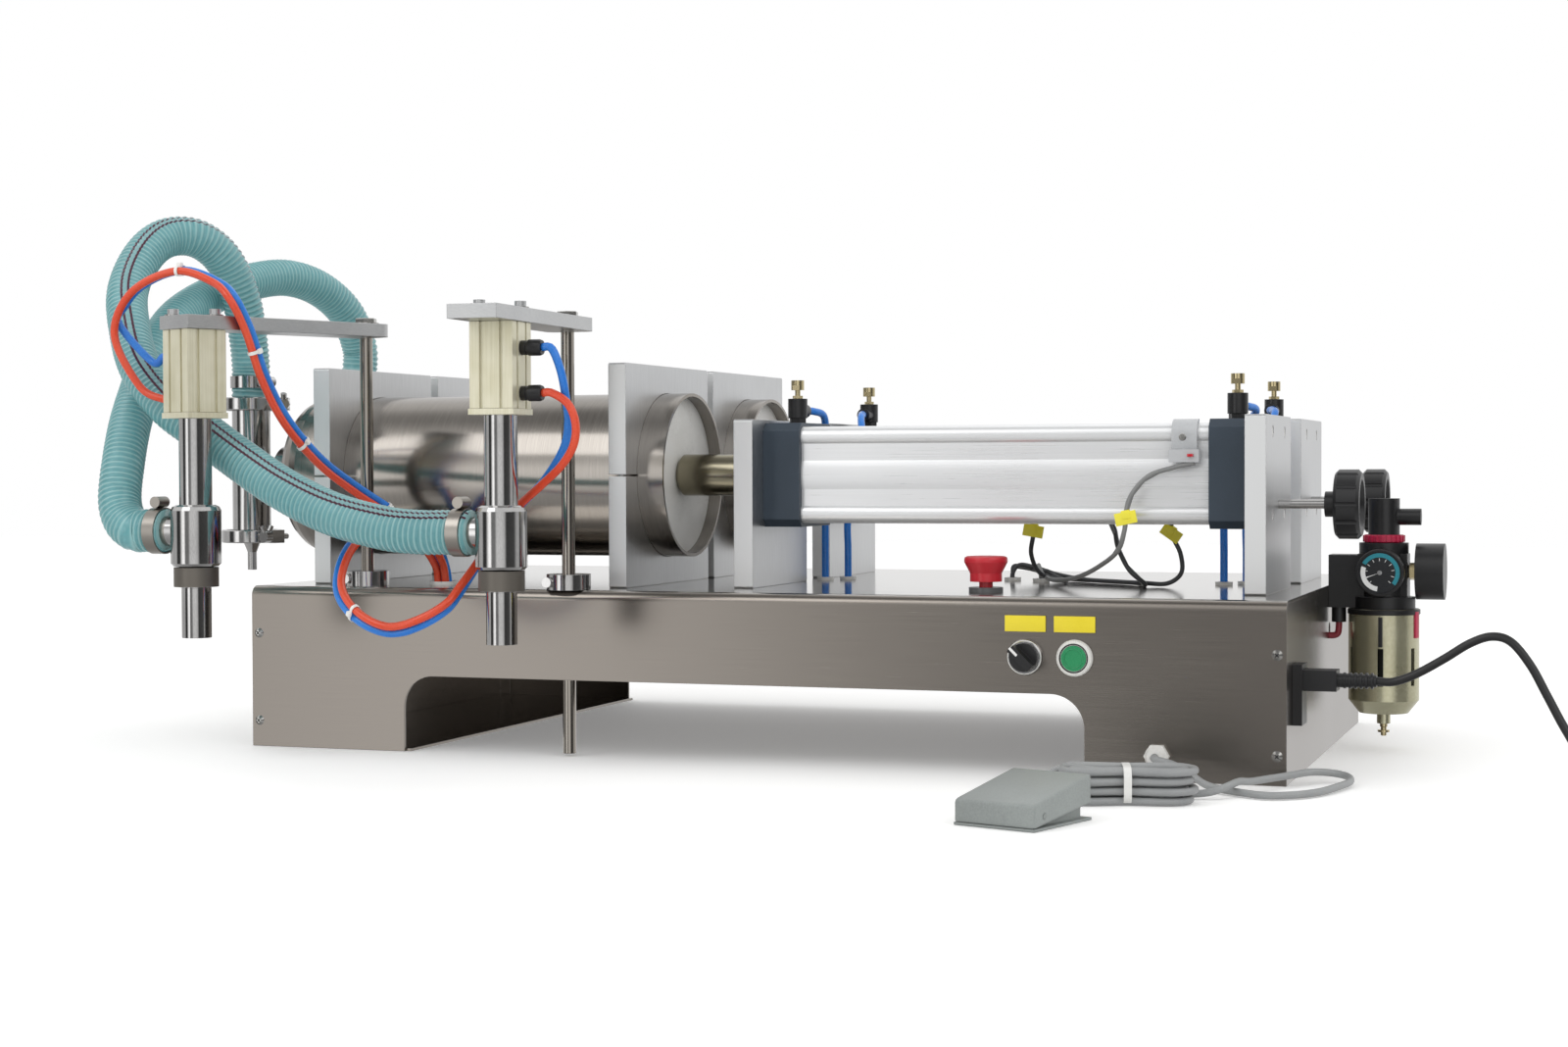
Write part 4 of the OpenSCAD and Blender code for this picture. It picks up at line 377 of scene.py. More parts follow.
# %% Air tubes
air_tube_d, air_tube_seen = 6, 7
air_pair_gap, air_ring = 1.2, 2.5
red_left_route = [
    (-6.3, -120.5, 322), (-17, -115.7, 322), (-42, -116, 334), (-64, -122, 380), (-47, -120, 418), (-5, -115, 436),
    (37, -121, 425), (61, -130, 408), (68, -115, 379), (74, -101, 340), (84, -79, 300), (99, -44, 263),
    (116, -5, 236), (135, 26, 214), (149, 52, 190), (157.5, 67, 168), (158.6, 70.2, 152), (158.6, 70.2, 143),
]
red_right_route = [
    (363.4, -133.2, 322), (372, -132.8, 322), (386, -132, 313), (392, -130, 297), (390, -129, 279),
    (377, -124, 262), (354, -113, 246), (326, -104, 226), (304, -104, 201), (291, -112, 178), (283, -126, 160),
    (276, -140, 145), (256, -150, 132), (228, -150, 125), (201, -145, 132), (177, -134, 147), (163, -118, 164),
    (160, -96, 187), (164, -70, 202), (170, -36, 208), (173, 0, 202), (171, 36, 188), (168, 62, 170),
    (166.6, 70.2, 152), (166.6, 70.2, 143),
]
blue_left_start = [(-6.3, -120.5, 360), (-17, -115.7, 360), (-34, -108, 356)]
blue_right_start = [
    (363.4, -133.2, 360), (372, -132.8, 359), (379, -130, 340), (381, -124, 316), (380, -118, 296),
    (372, -111, 275), (351, -104, 249), (325, -95.5, 228),
]


def beside(line, distance, first, last):
    """A line at a distance from another, which goes round it from the first angle to the last, in degrees."""
    out = []
    for i, (p, (ahead, side, across)) in enumerate(zip(line, sections(line))):
        turn = math.radians(first + (last - first) * i / (len(line) - 1))
        out.append(p + distance * (math.cos(turn) * side + math.sin(turn) * across))
    return out


def air_tube(name, points):
    """An air tube through points in mm, with a ring every few millimetres."""
    line = [at(*p) for p in smooth(points, 8)]
    return sweep(name, evenly(line, round(run_of(line)[-1] / (air_ring * MM))), air_tube_seen / 2 * MM)


def blue_beside(name, start, route, rings, skipped, first, last):
    """A blue tube from its own port that joins its red one after some rings of it."""
    line = beside(evenly(smooth(route, 6), rings), air_tube_d + air_pair_gap, first, last)
    return air_tube(name, start + [tuple(p) for p in line[skipped:]])


red_left = air_tube("red_tube_left", red_left_route)
red_right = air_tube("red_tube_right", red_right_route)
blue_left = blue_beside("blue_tube_left", blue_left_start, red_left_route, rings=36, skipped=6, first=60, last=45)
blue_right = blue_beside(
    "blue_tube_right", blue_right_start, red_right_route, rings=42, skipped=12, first=-150, last=168,
)

# %% [markdown]
# Four more blue tubes leave the flow controls on the air cylinders' caps, bend down behind the barrels and
# go through the deck.

# %% Cap tubes
cap_low, cap_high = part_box("air_caps")
cap_length = 35
cap_middles = [(cap_low.x - corner.x) / MM + cap_length / 2, (cap_high.x - corner.x) / MM - cap_length / 2]
cap_top = (cap_high.z - corner.z) / MM
axis_rows = [154, 374.6]
middle_row = sum(axis_rows) / 2
elbow_length, elbow_rise, tube_lean = 20, 12, 4
deck_z = 150
deck_under = deck_z - 6.5
deck_tube_drops = [(482, 256), (500, 272), (868, 256), (886, 272)]


def cap_tube(name, x, y, drop):
    """Out of the cap's elbow towards the middle, then down to its hole in the deck."""
    s = 1 if y < middle_row else -1
    z = cap_top + elbow_rise
    return air_tube(name, [
        (x, y + s * elbow_length, z), (x, y + s * 26, z), (x + tube_lean, y + s * 34, z),
        (x + 2 * tube_lean, y + s * 52, z - 4), ((x + drop[0]) / 2 + 2 * tube_lean, y + s * 68, z - 22),
        (drop[0] + tube_lean, (y + s * 78 + drop[1]) / 2, z - 60), (*drop, deck_z + 60), (*drop, deck_z + 30),
        (*drop, deck_under),
    ])


cap_tubes = []
for i, x in enumerate(cap_middles):
    for j, y in enumerate(axis_rows):
        cap_tubes.append(cap_tube(f"cap_tube_{i}_{j}", x, y, deck_tube_drops[2 * i + j]))
print("cap tubes at x", [round(x, 1) for x in cap_middles], "cap top", round(cap_top, 1))

# %% [markdown]
# Four thin leads come from the sensor and from behind the front barrel, sag to the deck and go down through two
# grommets. They are drawn a touch thicker than 4 mm, so that two of them hide the CAD leads inside them.

# %% Sensor leads
wire_d, wire_cover, lead_sides = 4, 0.1, 12
sensor_route = [
    (868, 102, 262), (850, 99, 258), (828, 96, 250), (812, 96, 230), (808, 98, 205), (800, 108, 186),
    (780, 130, 172), (752, 165, 160), (722, 205, 155), (702, 240, 158), (691, 268, 166), (691, 278, 158),
    (691, 278, 146),
]
wire_route = [
    (757, 203, 215), (768, 203, 214), (778, 198, 203), (784, 186, 186), (796, 178, 166), (808, 190, 153),
    (790, 230, 152.3), (750, 262, 152.3), (710, 292, 153), (680, 300, 160), (661, 297, 164), (659, 295, 156),
    (659, 295, 146),
]


def sensor_lead(name, route):
    """A lead along a route."""
    return sweep(name, [at(*p) for p in smooth(route, 10)], (wire_d / 2 + wire_cover) * MM, lead_sides)


rail_z = 208
left_route = [
    (702, 203, rail_z), (701, 205, 196), (697, 214, 178), (703, 226, 160), (722, 240, 153), (716, 262, 153),
    (704, 276, 156), (696, 280, 160), (692, 279, 156), (691, 278, 146),
]
right_route = [
    (829, 203, rail_z), (830, 205, 196), (837, 206, 180), (838, 204, 163), (826, 200, 153.5), (803, 204, 153.5),
    (772, 226, 153.5), (738, 250, 154), (706, 280, 157), (684, 294, 162), (666, 297, 165), (659, 295, 157),
    (659, 295, 146),
]
sensor_lead_front = sensor_lead("sensor_lead_front", sensor_route)
sensor_lead_rear = sensor_lead("sensor_lead_rear", wire_route)
sensor_lead_left = sensor_lead("sensor_lead_left", left_route)
sensor_lead_right = sensor_lead("sensor_lead_right", right_route)
print("four sensor leads,", 2 * (wire_d / 2 + wire_cover), "mm")

# %% [markdown]
# Colours are written as they look on a screen, in sRGB, and Blender works in linear light. One function turns
# the first into the second. Another adds a node, with its settings and what goes into its inputs, so a whole
# material reads as a short list of nodes.

# %% Colour and nodes
def linear(code):
    """An sRGB colour such as #8A8C8E as linear light, fully opaque."""
    out = []
    for i in (1, 3, 5):
        c = int(code[i:i + 2], 16) / 255
        out.append(c / 12.92 if c <= 0.04045 else ((c + 0.055) / 1.055) ** 2.4)
    return (*out, 1)


def add_node(tree, kind, inputs, **settings):
    """Adds a node. An input is a value or another node's output."""
    node = tree.nodes.new(kind)
    for key, value in settings.items():
        setattr(node, key, value)
    for key, value in inputs.items():
        if isinstance(value, bpy.types.NodeSocket):
            tree.links.new(value, node.inputs[key])
        else:
            node.inputs[key].default_value = value
    return node


def new_material(name, metallic=0.0):
    """A material, its node tree, its shader and the place on the piece in metres."""
    material = bpy.data.materials.new(name)
    material.use_nodes = True
    tree = material.node_tree
    shader = tree.nodes["Principled BSDF"]
    shader.inputs["Metallic"].default_value = metallic
    return material, tree, shader, tree.nodes.new("ShaderNodeTexCoord").outputs["Object"]


print("mid grey #808080 in linear light:", round(linear("#808080")[0], 3))

# %% [markdown]
# Nearly every material here is one recipe. Fine noise, stretched along the grain, and slow noise over it mix a
# dark and a light tone. The same sum makes the gloss uneven, and the fine noise gives a shallow relief. The
# Bevel node rounds hard edges for the light, and where it bends the normal most the edge is worn to a paler
# tone. A picture could hold all this, but noise in millimetres needs no unwrapping and stays sharp up close.

# %% One recipe for most materials
def surface(name, metallic, dark, light, rough, grain_mm, stretch=(1, 1, 1), bump=0.05, depth_mm=0.05, big_mm=60,
            edge_mm=0.0, worn=None):
    """A material with two tones in its grain, slow changes of tone, uneven gloss, a fine relief and rounded edges."""
    material, tree, shader, place = new_material(name, metallic)
    across = add_node(tree, "ShaderNodeMapping", {"Vector": place, "Scale": stretch})
    grain = add_node(tree, "ShaderNodeTexNoise", {
        "Vector": across.outputs[0], "Scale": 1 / (grain_mm * MM), "Detail": 3.0, "Roughness": 0.6,
    })
    slow = add_node(tree, "ShaderNodeTexNoise", {"Vector": place, "Scale": 1 / (big_mm * MM), "Detail": 2.0})
    both = add_node(tree, "ShaderNodeMath", {0: grain.outputs[0], 1: slow.outputs[0]}, operation="ADD")
    share = add_node(tree, "ShaderNodeMapRange", {"Value": both.outputs[0], "From Min": 0.65, "From Max": 1.35})
    tone = add_node(tree, "ShaderNodeMix", {
        "Factor": share.outputs[0], 6: linear(dark), 7: linear(light),
    }, data_type="RGBA")
    gloss = add_node(tree, "ShaderNodeMapRange", {
        "Value": both.outputs[0], "From Min": 0.6, "From Max": 1.4, "To Min": rough[0], "To Max": rough[1],
    })
    relief = add_node(tree, "ShaderNodeBump", {
        "Height": grain.outputs[0], "Strength": bump, "Distance": depth_mm * MM,
    })
    if edge_mm:
        rounded = add_node(tree, "ShaderNodeBevel", {"Radius": edge_mm * MM}, samples=4)
        tree.links.new(rounded.outputs[0], relief.inputs["Normal"])
        if worn:
            flat = tree.nodes.new("ShaderNodeNewGeometry").outputs["Normal"]
            bent = add_node(tree, "ShaderNodeVectorMath", {0: rounded.outputs[0], 1: flat}, operation="DOT_PRODUCT")
            rub = add_node(tree, "ShaderNodeMapRange", {
                "Value": bent.outputs["Value"], "From Min": 0.97, "From Max": 0.7, "To Max": 0.6,
            })
            tone = add_node(tree, "ShaderNodeMix", {
                "Factor": rub.outputs[0], 6: tone.outputs[2], 7: linear(worn),
            }, data_type="RGBA")
    tree.links.new(tone.outputs[2], shader.inputs["Base Color"])
    tree.links.new(gloss.outputs[0], shader.inputs["Roughness"])
    tree.links.new(relief.outputs[0], shader.inputs["Normal"])
    return material


def plastic(name, dark, light, rough, grain_mm, bump=0.05, **more):
    """The same recipe for what isn't metal: moulded plastic, rubber, paint."""
    return surface(name, 0.0, dark, light, rough, grain_mm, bump=bump, **more)


def wear(*names, material):
    """Gives CAD nodes their material through their own slots."""
    for name in names:
        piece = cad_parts[name]
        if not piece.material_slots:
            piece.data.materials.append(None)
        for own in piece.material_slots:
            own.material = material
    print(material.name, "on", len(names), "nodes")


# %% [markdown]
# One CAD node can hold parts of two finishes, such as a rod and the coupling on it. A second mesh would do, but
# a layer over the finished material is lighter: it lies between two places along an axis, or where the surface
# faces one way.

# %% Layers over a material
def layer(material, share, code, rough=None):
    """Lays another colour, and its roughness, over a finished material where share is 1."""
    tree = material.node_tree
    shader = tree.nodes["Principled BSDF"]
    colour = shader.inputs["Base Color"].links[0].from_socket
    mixed = add_node(tree, "ShaderNodeMix", {"Factor": share, 6: colour, 7: linear(code)}, data_type="RGBA")
    tree.links.new(mixed.outputs[2], shader.inputs["Base Color"])
    if rough is not None:
        gloss = shader.inputs["Roughness"].links[0].from_socket
        both = add_node(tree, "ShaderNodeMix", {"Factor": share, 2: gloss, 3: rough}, data_type="FLOAT")
        tree.links.new(both.outputs[0], shader.inputs["Roughness"])


def between(material, axis, low, high):
    """1 between two places in mm along an axis, at rest, and 0 elsewhere."""
    tree = material.node_tree
    apart = add_node(tree, "ShaderNodeSeparateXYZ", {0: tree.nodes["Texture Coordinate"].outputs["Object"]})
    middle, half = corner[axis] + (low + high) / 2 * MM, (high - low) / 2 * MM
    return add_node(tree, "ShaderNodeMath", {0: apart.outputs[axis], 1: middle, 2: half}, operation="COMPARE").outputs[0]


def facing(material, axis, low, high):
    """0 where the surface's normal has low along an axis, 1 where it has high."""
    tree = material.node_tree
    apart = add_node(tree, "ShaderNodeSeparateXYZ", {0: tree.nodes.new("ShaderNodeNewGeometry").outputs["Normal"]})
    share = add_node(tree, "ShaderNodeMapRange", {"Value": apart.outputs[axis], "From Min": low, "From Max": high})
    return share.outputs[0]


# %% [markdown]
# The frame and its end covers are folded from 2.5 mm stainless sheet with a brushed finish. A belt of grit
# leaves fine lines along the sheet, about 0.3 mm wide. They are drawn 0.8 mm wide, because finer ones would
# vanish at this size. The deck is polished brighter, and mirrors what stands on it.

# %% Brushed stainless sheet
brushed = surface(
    "brushed_stainless_sheet", 1.0, "#827C76", "#8C867F", (0.22, 0.28), 0.8, (0.01, 1, 1), 0.025, 0.02, 260,
    0.8, "#C9C5BF",
)
layer(brushed, facing(brushed, 2, 0.8, 0.98), "#B9B6B2", 0.13)
wear("frame_shell", "left_end_cover", "right_end_cover", material=brushed)

# %% [markdown]
# The plates that carry the cylinders are aluminium, planed flat with a wide cutter. It leaves faint marks across
# the plate. The broken edges are bright. The faces that point to the front are painted paler, a painted
# highlight, and are rougher.

# %% Machined aluminium plates
# Flycut aluminium: matt, pale, with the cutter's fine marks across the plate and bright broken edges.
milled = surface(
    "milled_aluminium", 1.0, "#C2C3C4", "#D4D5D6", (0.32, 0.42), 1.2, (1, 1, 0.05), 0.08, 0.03, 90, 1.2, "#F4F4F4",
)
# Painted highlight: the faces that point to the front are painted paler. They are also rougher.
layer(milled, facing(milled, 1, -0.8, -0.98), "#EAEBEB", 0.5)
wear("cylinder_saddles", "cylinder_clamps", "air_plates", material=milled)

# %% [markdown]
# The product cylinders and everything the product touches are polished stainless steel. The less rough it is,
# the sharper the room stands in it: the cylinders only show soft bands, the small fittings nearly mirror it.

# %% Polished stainless
# Stainless tube, polished on a lathe: fine rings round the tube and a soft mirror.
rolled = surface(
    "polished_stainless_tube", 1.0, "#8A857F", "#9D9892", (0.14, 0.22), 0.9, (1, 0.03, 0.03), 0.05, 0.02, 140,
)
wear("fill_tubes", "cylinder_heads", material=rolled)
# Cast and turned stainless fittings, buffed until they mirror.
bright = surface(
    "bright_stainless", 1.0, "#A9A8A7", "#BFBEBD", (0.07, 0.15), 0.7, (1, 1, 0.2), 0.03, 0.02, 40, 0.5,
)
wear(
    "valve_tees", "pipe_clamps", "valve_rod_left", "valve_rod_right", "post_collars",
    "stroke_screw_front", "stroke_screw_rear", material=bright,
)

# %% [markdown]
# Each piston rod is hard chromed, so it mirrors sharply. The coupling screwed on its end is plain turned steel.
# Both are one CAD node, so the coupling is a layer over its stretch of the rod, and slides along with it.

# %% Rods and couplings
# Hard chrome: nearly a mirror. Turned steel with a film of oil: duller and a little yellow.
coupling_low, coupling_high = 372.5, 435.5
rods = surface(
    "chromed_rods_and_couplings", 1.0, "#A9A8A7", "#BFBEBD", (0.07, 0.15), 0.7, (0.2, 1, 1), 0.03, 0.02, 40, 0.5,
)
layer(rods, between(rods, 0, coupling_low, coupling_high), "#918B78", 0.2)
wear("piston_rod_front", "piston_rod_rear", material=rods)

# %% [markdown]
# The nozzles are buffed like the tees. The union nut under each body is left as forged, with painted shade, a
# near-black band, in the gap over it, and a hose clamp of duller strip sits on each side port. Layers in height
# and width pick these out.

# %% Nozzles
# Buffed stainless: a mirror. The forged union: matt and grey-brown. The clamps' rolled strip: half dull.
union_low, union_high, union_gap = 156.2, 173, 1.2
nozzle_steel = surface(
    "nozzle_stainless", 1.0, "#A9A8A7", "#C1C0BF", (0.06, 0.13), 0.7, (1, 1, 0.2), 0.03, 0.02, 40, 0.4,
)
layer(nozzle_steel, between(nozzle_steel, 2, union_low, union_high), "#7D7871", 0.5)
# Painted shade: a near-black band where the gap over the union nut lies in shade.
layer(nozzle_steel, between(nozzle_steel, 2, union_high, union_high + union_gap), "#1B1A19", 0.5)
for clamp_low, clamp_high in ((-60, 4), (200, 302)):
    layer(nozzle_steel, between(nozzle_steel, 0, clamp_low, clamp_high), "#A09B94", 0.3)
wear("nozzle_left", "nozzle_right", material=nozzle_steel)

# %% [markdown]
# Screws are zinc plated and the needles of the flow controls are brass under a thin coat of nickel. They are
# small, so only their tone and their gloss are seen.

# %% Screws and brass
# Zinc plate: grey-white and half dull.
zinc = surface("zinc_plated_steel", 1.0, "#A3A29E", "#C3C2BF", (0.16, 0.28), 0.5)
wear("fasteners", material=zinc)
# Thinly nickelled brass: the yellow shows through.
brass = surface("nickelled_brass", 1.0, "#B8A77C", "#D9CDA8", (0.14, 0.26), 0.5)
wear("needle_front_left", "needle_front_right", "needle_rear_left", "needle_rear_right", material=brass)

# %% [markdown]
# An air cylinder's barrel is an anodised extrusion between two die-cast caps. Anodising is a clear layer of
# oxide that scatters light, so the barrel is pale all over. As a full metal it would only mirror the dark room.

# %% Air cylinders
# Clear-anodised aluminium: pale, silky, with faint lines along the extrusion, and only half a metal.
barrel_skin = surface(
    "anodised_aluminium_profile", 0.5, "#E6E7E8", "#EFF0F1", (0.26, 0.34), 0.8, (0.01, 1, 1), 0.02, 0.02, 160,
)
wear("air_barrels", material=barrel_skin)
# Die-cast aluminium with a slate-blue coat: matt, paler where it is thin over the edges.
slate = surface(
    "slate_coated_castings", 0.2, "#303B46", "#3D4956", (0.36, 0.5), 0.6, bump=0.1, edge_mm=1.2, worn="#5A6673",
)
wear("air_caps", material=slate)

# %% [markdown]
# The square actuators over the nozzles are cut from an extruded profile in a champagne anodising. The lines of
# the extrusion run up and down, so the grain is stretched along the height.

# %% Actuators
# Champagne anodising: a warm, silky ivory with paler cut edges.
ivory = surface(
    "champagne_anodised_profile", 0.4, "#CCC7AA", "#E6E2CC", (0.3, 0.42), 1.4, (1, 1, 0.02), 0.05, 0.03, 30,
    0.6, "#F2F0E2",
)
wear("actuator_left", "actuator_right", material=ivory)

# %% [markdown]
# Each arm is a milled aluminium bar on top of a post of ground steel bar. They are one CAD node, so everything
# below the arm's underside gets the post's tone and gloss in a layer.

# %% Arms and posts
# Milled aluminium: pale and matt with bright edges. Ground bar: darker, warmer and glossier.
arm_under, post_foot = 381.8, -60
arms = surface(
    "arm_aluminium_and_ground_posts", 1.0, "#B9BABB", "#CECFCF", (0.3, 0.4), 0.9, (0.2, 0.2, 1), 0.06, 0.03, 60,
    0.7, "#F0F0F0",
)
layer(arms, between(arms, 2, post_foot, arm_under), "#A09A92", 0.12)
wear("post_left", "post_right", material=arms)

# %% [markdown]
# Moulded plastics reflect little and show their own colour. The fine relief of the mould keeps them from looking
# like glass. The controls' skirts are grey under white sleeves, which is one more layer.

# %% Moulded plastics
# Glass-filled nylon and rubber: near black, satin, grey where edges rub.
black = plastic("black_moulded_plastic", "#121213", "#202022", (0.26, 0.42), 0.5, 0.12, edge_mm=0.6, worn="#3A3A3C")
wear("flow_bodies", "mains_inlet", "mains_plug", "wall_plug", "filter_body", "pressure_gauges", "regulator_knob",
     "stroke_wheel_front", "stroke_wheel_rear", "selector_knob", material=black)
# White acetal: smooth, slightly warm.
white = plastic("white_moulded_plastic", "#DEDDD8", "#F0EFEC", (0.22, 0.36), 0.6, 0.06)
wear("cable_glands", "fill_piston_front", "fill_piston_rear", material=white)
skirt_low, skirt_high = 145, 160
sleeves = white.copy()
sleeves.name = "white_sleeves_and_grey_skirt"
layer(sleeves, between(sleeves, 2, skirt_low, skirt_high), "#5C5D5E")
wear("control_bezels", material=sleeves)
# ABS housings under the deck: dark grey and coarse.
housing = plastic("dark_grey_housing", "#3A3B3D", "#4A4B4E", (0.4, 0.55), 0.6, 0.15, edge_mm=0.8)
wear("solenoid_valves", "power_supply", material=housing)

# %% [markdown]
# The filter's bowl stands in a guard of pressed sheet with slots. Its outside is lacquered and its inside is in
# shade. Light leaks into so thin a wall in a render, so the inside is darkened by its distance from the axis.

# %% Filter bowl and guard
# Pressed sheet in a thin champagne lacquer: glossy and a little green.
filter_axis = (1008, 290)
guard_inner, guard_low, guard_high = 28.45, 46, 130
guard = surface(
    "champagne_bowl_guard", 0.8, "#B9B596", "#CECBB0", (0.2, 0.28), 2.4, bump=0.02, depth_mm=0.02, edge_mm=0.5,
)
tree = guard.node_tree
out_of_axis = add_node(tree, "ShaderNodeVectorMath", {
    0: tree.nodes["Texture Coordinate"].outputs["Object"], 1: tuple(at(*filter_axis, 0)),
}, operation="SUBTRACT")
flat_way = add_node(tree, "ShaderNodeVectorMath", {0: out_of_axis.outputs[0], 1: (1, 1, 0)}, operation="MULTIPLY")
distance = add_node(tree, "ShaderNodeVectorMath", {0: flat_way.outputs[0]}, operation="LENGTH")
inside = add_node(tree, "ShaderNodeMath", {0: distance.outputs["Value"], 1: guard_inner * MM}, operation="LESS_THAN")
above_foot = add_node(tree, "ShaderNodeMath", {
    0: inside.outputs[0], 1: between(guard, 2, guard_low, guard_high),
}, operation="MULTIPLY")
layer(guard, above_foot.outputs[0], "#1E1F1B")
wear("filter_bowl", material=guard)

# %% [markdown]
# The pedal is a casting in hammered paint, which draws together into dimples a millimetre or two wide as it
# dries. The recipe's relief gives them when it is deeper and its grain coarser.

# %% Pedal paint
# Grey hammered enamel: dimpled, satin, thin over the edges.
pedal_paint = plastic(
    "grey_hammered_paint", "#868B89", "#9AA09E", (0.34, 0.46), 1.6, 0.2, depth_mm=0.12, edge_mm=2.6, worn="#A9AFAC",
)
wear("pedal_base", "pedal_lever", material=pedal_paint)

# %% [markdown]
# The button caps are dyed right through, so their colour is even and strong. The sensor is light grey ABS with
# its lead in the same CAD node. The lead is the part that hangs lower, and gets a darker layer.

# %% Buttons and sensor
# Glossy dyed plastic: saturated, with soft highlights.
red_button = plastic("red_moulded_plastic", "#B81A2A", "#D22C38", (0.24, 0.36), 0.7, 0.06, edge_mm=0.5)
wear("emergency_button", material=red_button)
green_button = plastic("green_moulded_plastic", "#228A56", "#32A46C", (0.24, 0.36), 0.7, 0.06)
wear("start_button", material=green_button)
# ABS and a PVC lead: light grey and mid grey, both satin.
lead_low, lead_high = 140, 258
sensor_and_lead = plastic("light_grey_sensor_and_its_lead", "#B4B6B8", "#C9CBCD", (0.3, 0.42), 0.7, 0.06, edge_mm=0.4)
layer(sensor_and_lead, between(sensor_and_lead, 2, lead_low, lead_high), "#7A7B7B")
wear("reed_sensors", material=sensor_and_lead)

# %% [markdown]
# The leads have soft PVC jackets. The air tubes are polyurethane, which is glossy and lets a little light
# through. A small Transmission Weight gives that glow without the noise of real depth in the plastic.

# %% Leads and air tubes
# Soft PVC: satin and slightly uneven.
black_rubber = plastic("black_pvc_lead", "#0F0F10", "#1D1D1E", (0.3, 0.42), 0.7, 0.1)
grey_rubber = plastic("grey_pvc_lead", "#8E9091", "#A4A6A6", (0.36, 0.5), 0.7, 0.1)
lead_grey = plastic("sensor_lead_grey", "#7A7B7B", "#8E8F8E", (0.34, 0.46), 0.7, 0.1)
lead_dark = plastic("sensor_lead_charcoal", "#3A3B3D", "#4C4D50", (0.34, 0.46), 0.7, 0.1)
# Dyed polyurethane: glossy, vivid and faintly see-through.
red_pu = plastic("red_polyurethane_tube", "#E04425", "#F46040", (0.16, 0.26), 1.2, 0.04)
blue_pu = plastic("blue_polyurethane_tube", "#1E72D2", "#3A93F2", (0.16, 0.26), 1.2, 0.04)
for tube in (red_pu, blue_pu):
    tube.node_tree.nodes["Principled BSDF"].inputs["Transmission Weight"].default_value = 0.15

# %% [markdown]
# A product hose has a clear teal wall round its wire. It is pale over the wire and deeper between its turns. The
# hose's own UV map says how far along and how far round a point is, so a cosine of their sum draws the helix
# exactly on the ribs. One hose carries two thin dark red lines with a pale band between them.

# %% Hoses
# Clear PVC: wet gloss, teal, and a good deal of light through it.
teal = plastic("clear_teal_pvc_hose", "#6FAFB5", "#84C0C4", (0.08, 0.16), 6.0, 0.02)
teal.node_tree.nodes["Principled BSDF"].inputs["Transmission Weight"].default_value = 0.35
tree = teal.node_tree
along = add_node(tree, "ShaderNodeSeparateXYZ", {0: add_node(tree, "ShaderNodeUVMap", {}, uv_map="along").outputs[0]})
turns = add_node(tree, "ShaderNodeMath", {0: along.outputs[1], 1: 1 / (wire_pitch * MM)}, operation="MULTIPLY")
turns = add_node(tree, "ShaderNodeMath", {0: turns.outputs[0], 1: along.outputs[0]}, operation="ADD")
turns = add_node(tree, "ShaderNodeMath", {0: turns.outputs[0], 1: 2 * math.pi}, operation="MULTIPLY")
crest = add_node(tree, "ShaderNodeMath", {0: turns.outputs[0]}, operation="COSINE")
crest = add_node(tree, "ShaderNodeMapRange", {
    "Value": crest.outputs[0], "From Min": 0.1, "From Max": 1.0, "To Max": 0.8,
})
layer(teal, crest.outputs[0], "#AEDADA")
teal_lined = teal.copy()
teal_lined.name = "clear_teal_pvc_hose_with_lines"
tree = teal_lined.node_tree
share_round = next(n for n in tree.nodes if n.type == "SEPXYZ").outputs[0]
for middle, half, code in ((0.941, 0.024, "#9CC9CC"), (0.914, 0.0095, "#5A2038"), (0.968, 0.0095, "#5A2038")):
    line_here = add_node(tree, "ShaderNodeMath", {0: share_round, 1: middle, 2: half}, operation="COMPARE")
    layer(teal_lined, line_here.outputs[0], code)

# %% Give the leads, tubes and hoses their materials
for material, pieces in (
    (black_rubber, [mains_lead]), (grey_rubber, [pedal_lead]), (red_pu, [red_left, red_right]),
    (blue_pu, [blue_left, blue_right, *cap_tubes]), (teal, [hose_left]), (teal_lined, [hose_right]),
    (lead_grey, [sensor_lead_front]), (lead_dark, [sensor_lead_rear, sensor_lead_left, sensor_lead_right]),
):
    for piece in pieces:
        piece.data.materials.append(material)
    print(material.name, "on", len(pieces), "pieces")

# %% [markdown]
# Small pieces are turned or made from bevelled blocks. Turning a profile round an axis gives every ring, cap
# and nut, and a bevel gives every block the soft edge that catches light. Several such shapes make one piece.

# %% Turned and bevelled shapes
to_right, to_front, upright = (1, 0, 0), (0, -1, 0), (0, 0, 1)


def turned(place, axis, profile, sides=48, closed=False):
    """Points and faces of a profile, radius and distance along in mm, turned round an axis."""
    ahead = Vector(axis).normalized()
    side = ahead.orthogonal().normalized()
    across = ahead.cross(side)
    turns = [2 * math.pi * k / sides for k in range(sides)]
    return skin([[
        at(*place) + (along * ahead + r * (math.cos(t) * side + math.sin(t) * across)) * MM for t in turns
    ] for r, along in profile], closed)


def taken(shape):
    """Points and faces of a bmesh, which is freed."""
    shape.verts.index_update()
    out = [v.co.copy() for v in shape.verts], [tuple(v.index for v in f.verts) for f in shape.faces]
    shape.free()
    return out


def bevelled_box(size, bevel, place, **settings):
    """Points and faces of a box in mm with bevelled edges, put in its place by a matrix."""
    shape = bmesh.new()
    bmesh.ops.create_cube(shape, size=1)
    bmesh.ops.scale(shape, vec=[c * MM for c in size], verts=shape.verts)
    bmesh.ops.bevel(shape, geom=shape.edges[:], offset=bevel * MM, segments=2, affect="EDGES", **settings)
    bmesh.ops.transform(shape, matrix=place, verts=shape.verts)
    return taken(shape)


def block(place, size, bevel=0.4, turn=0.0, axis="Z"):
    """A bevelled box at a place in mm, turned about its middle by degrees."""
    stand = Matrix.Translation(at(*place)) @ Matrix.Rotation(math.radians(turn), 4, axis)
    return bevelled_box(size, bevel, stand, profile=0.6)


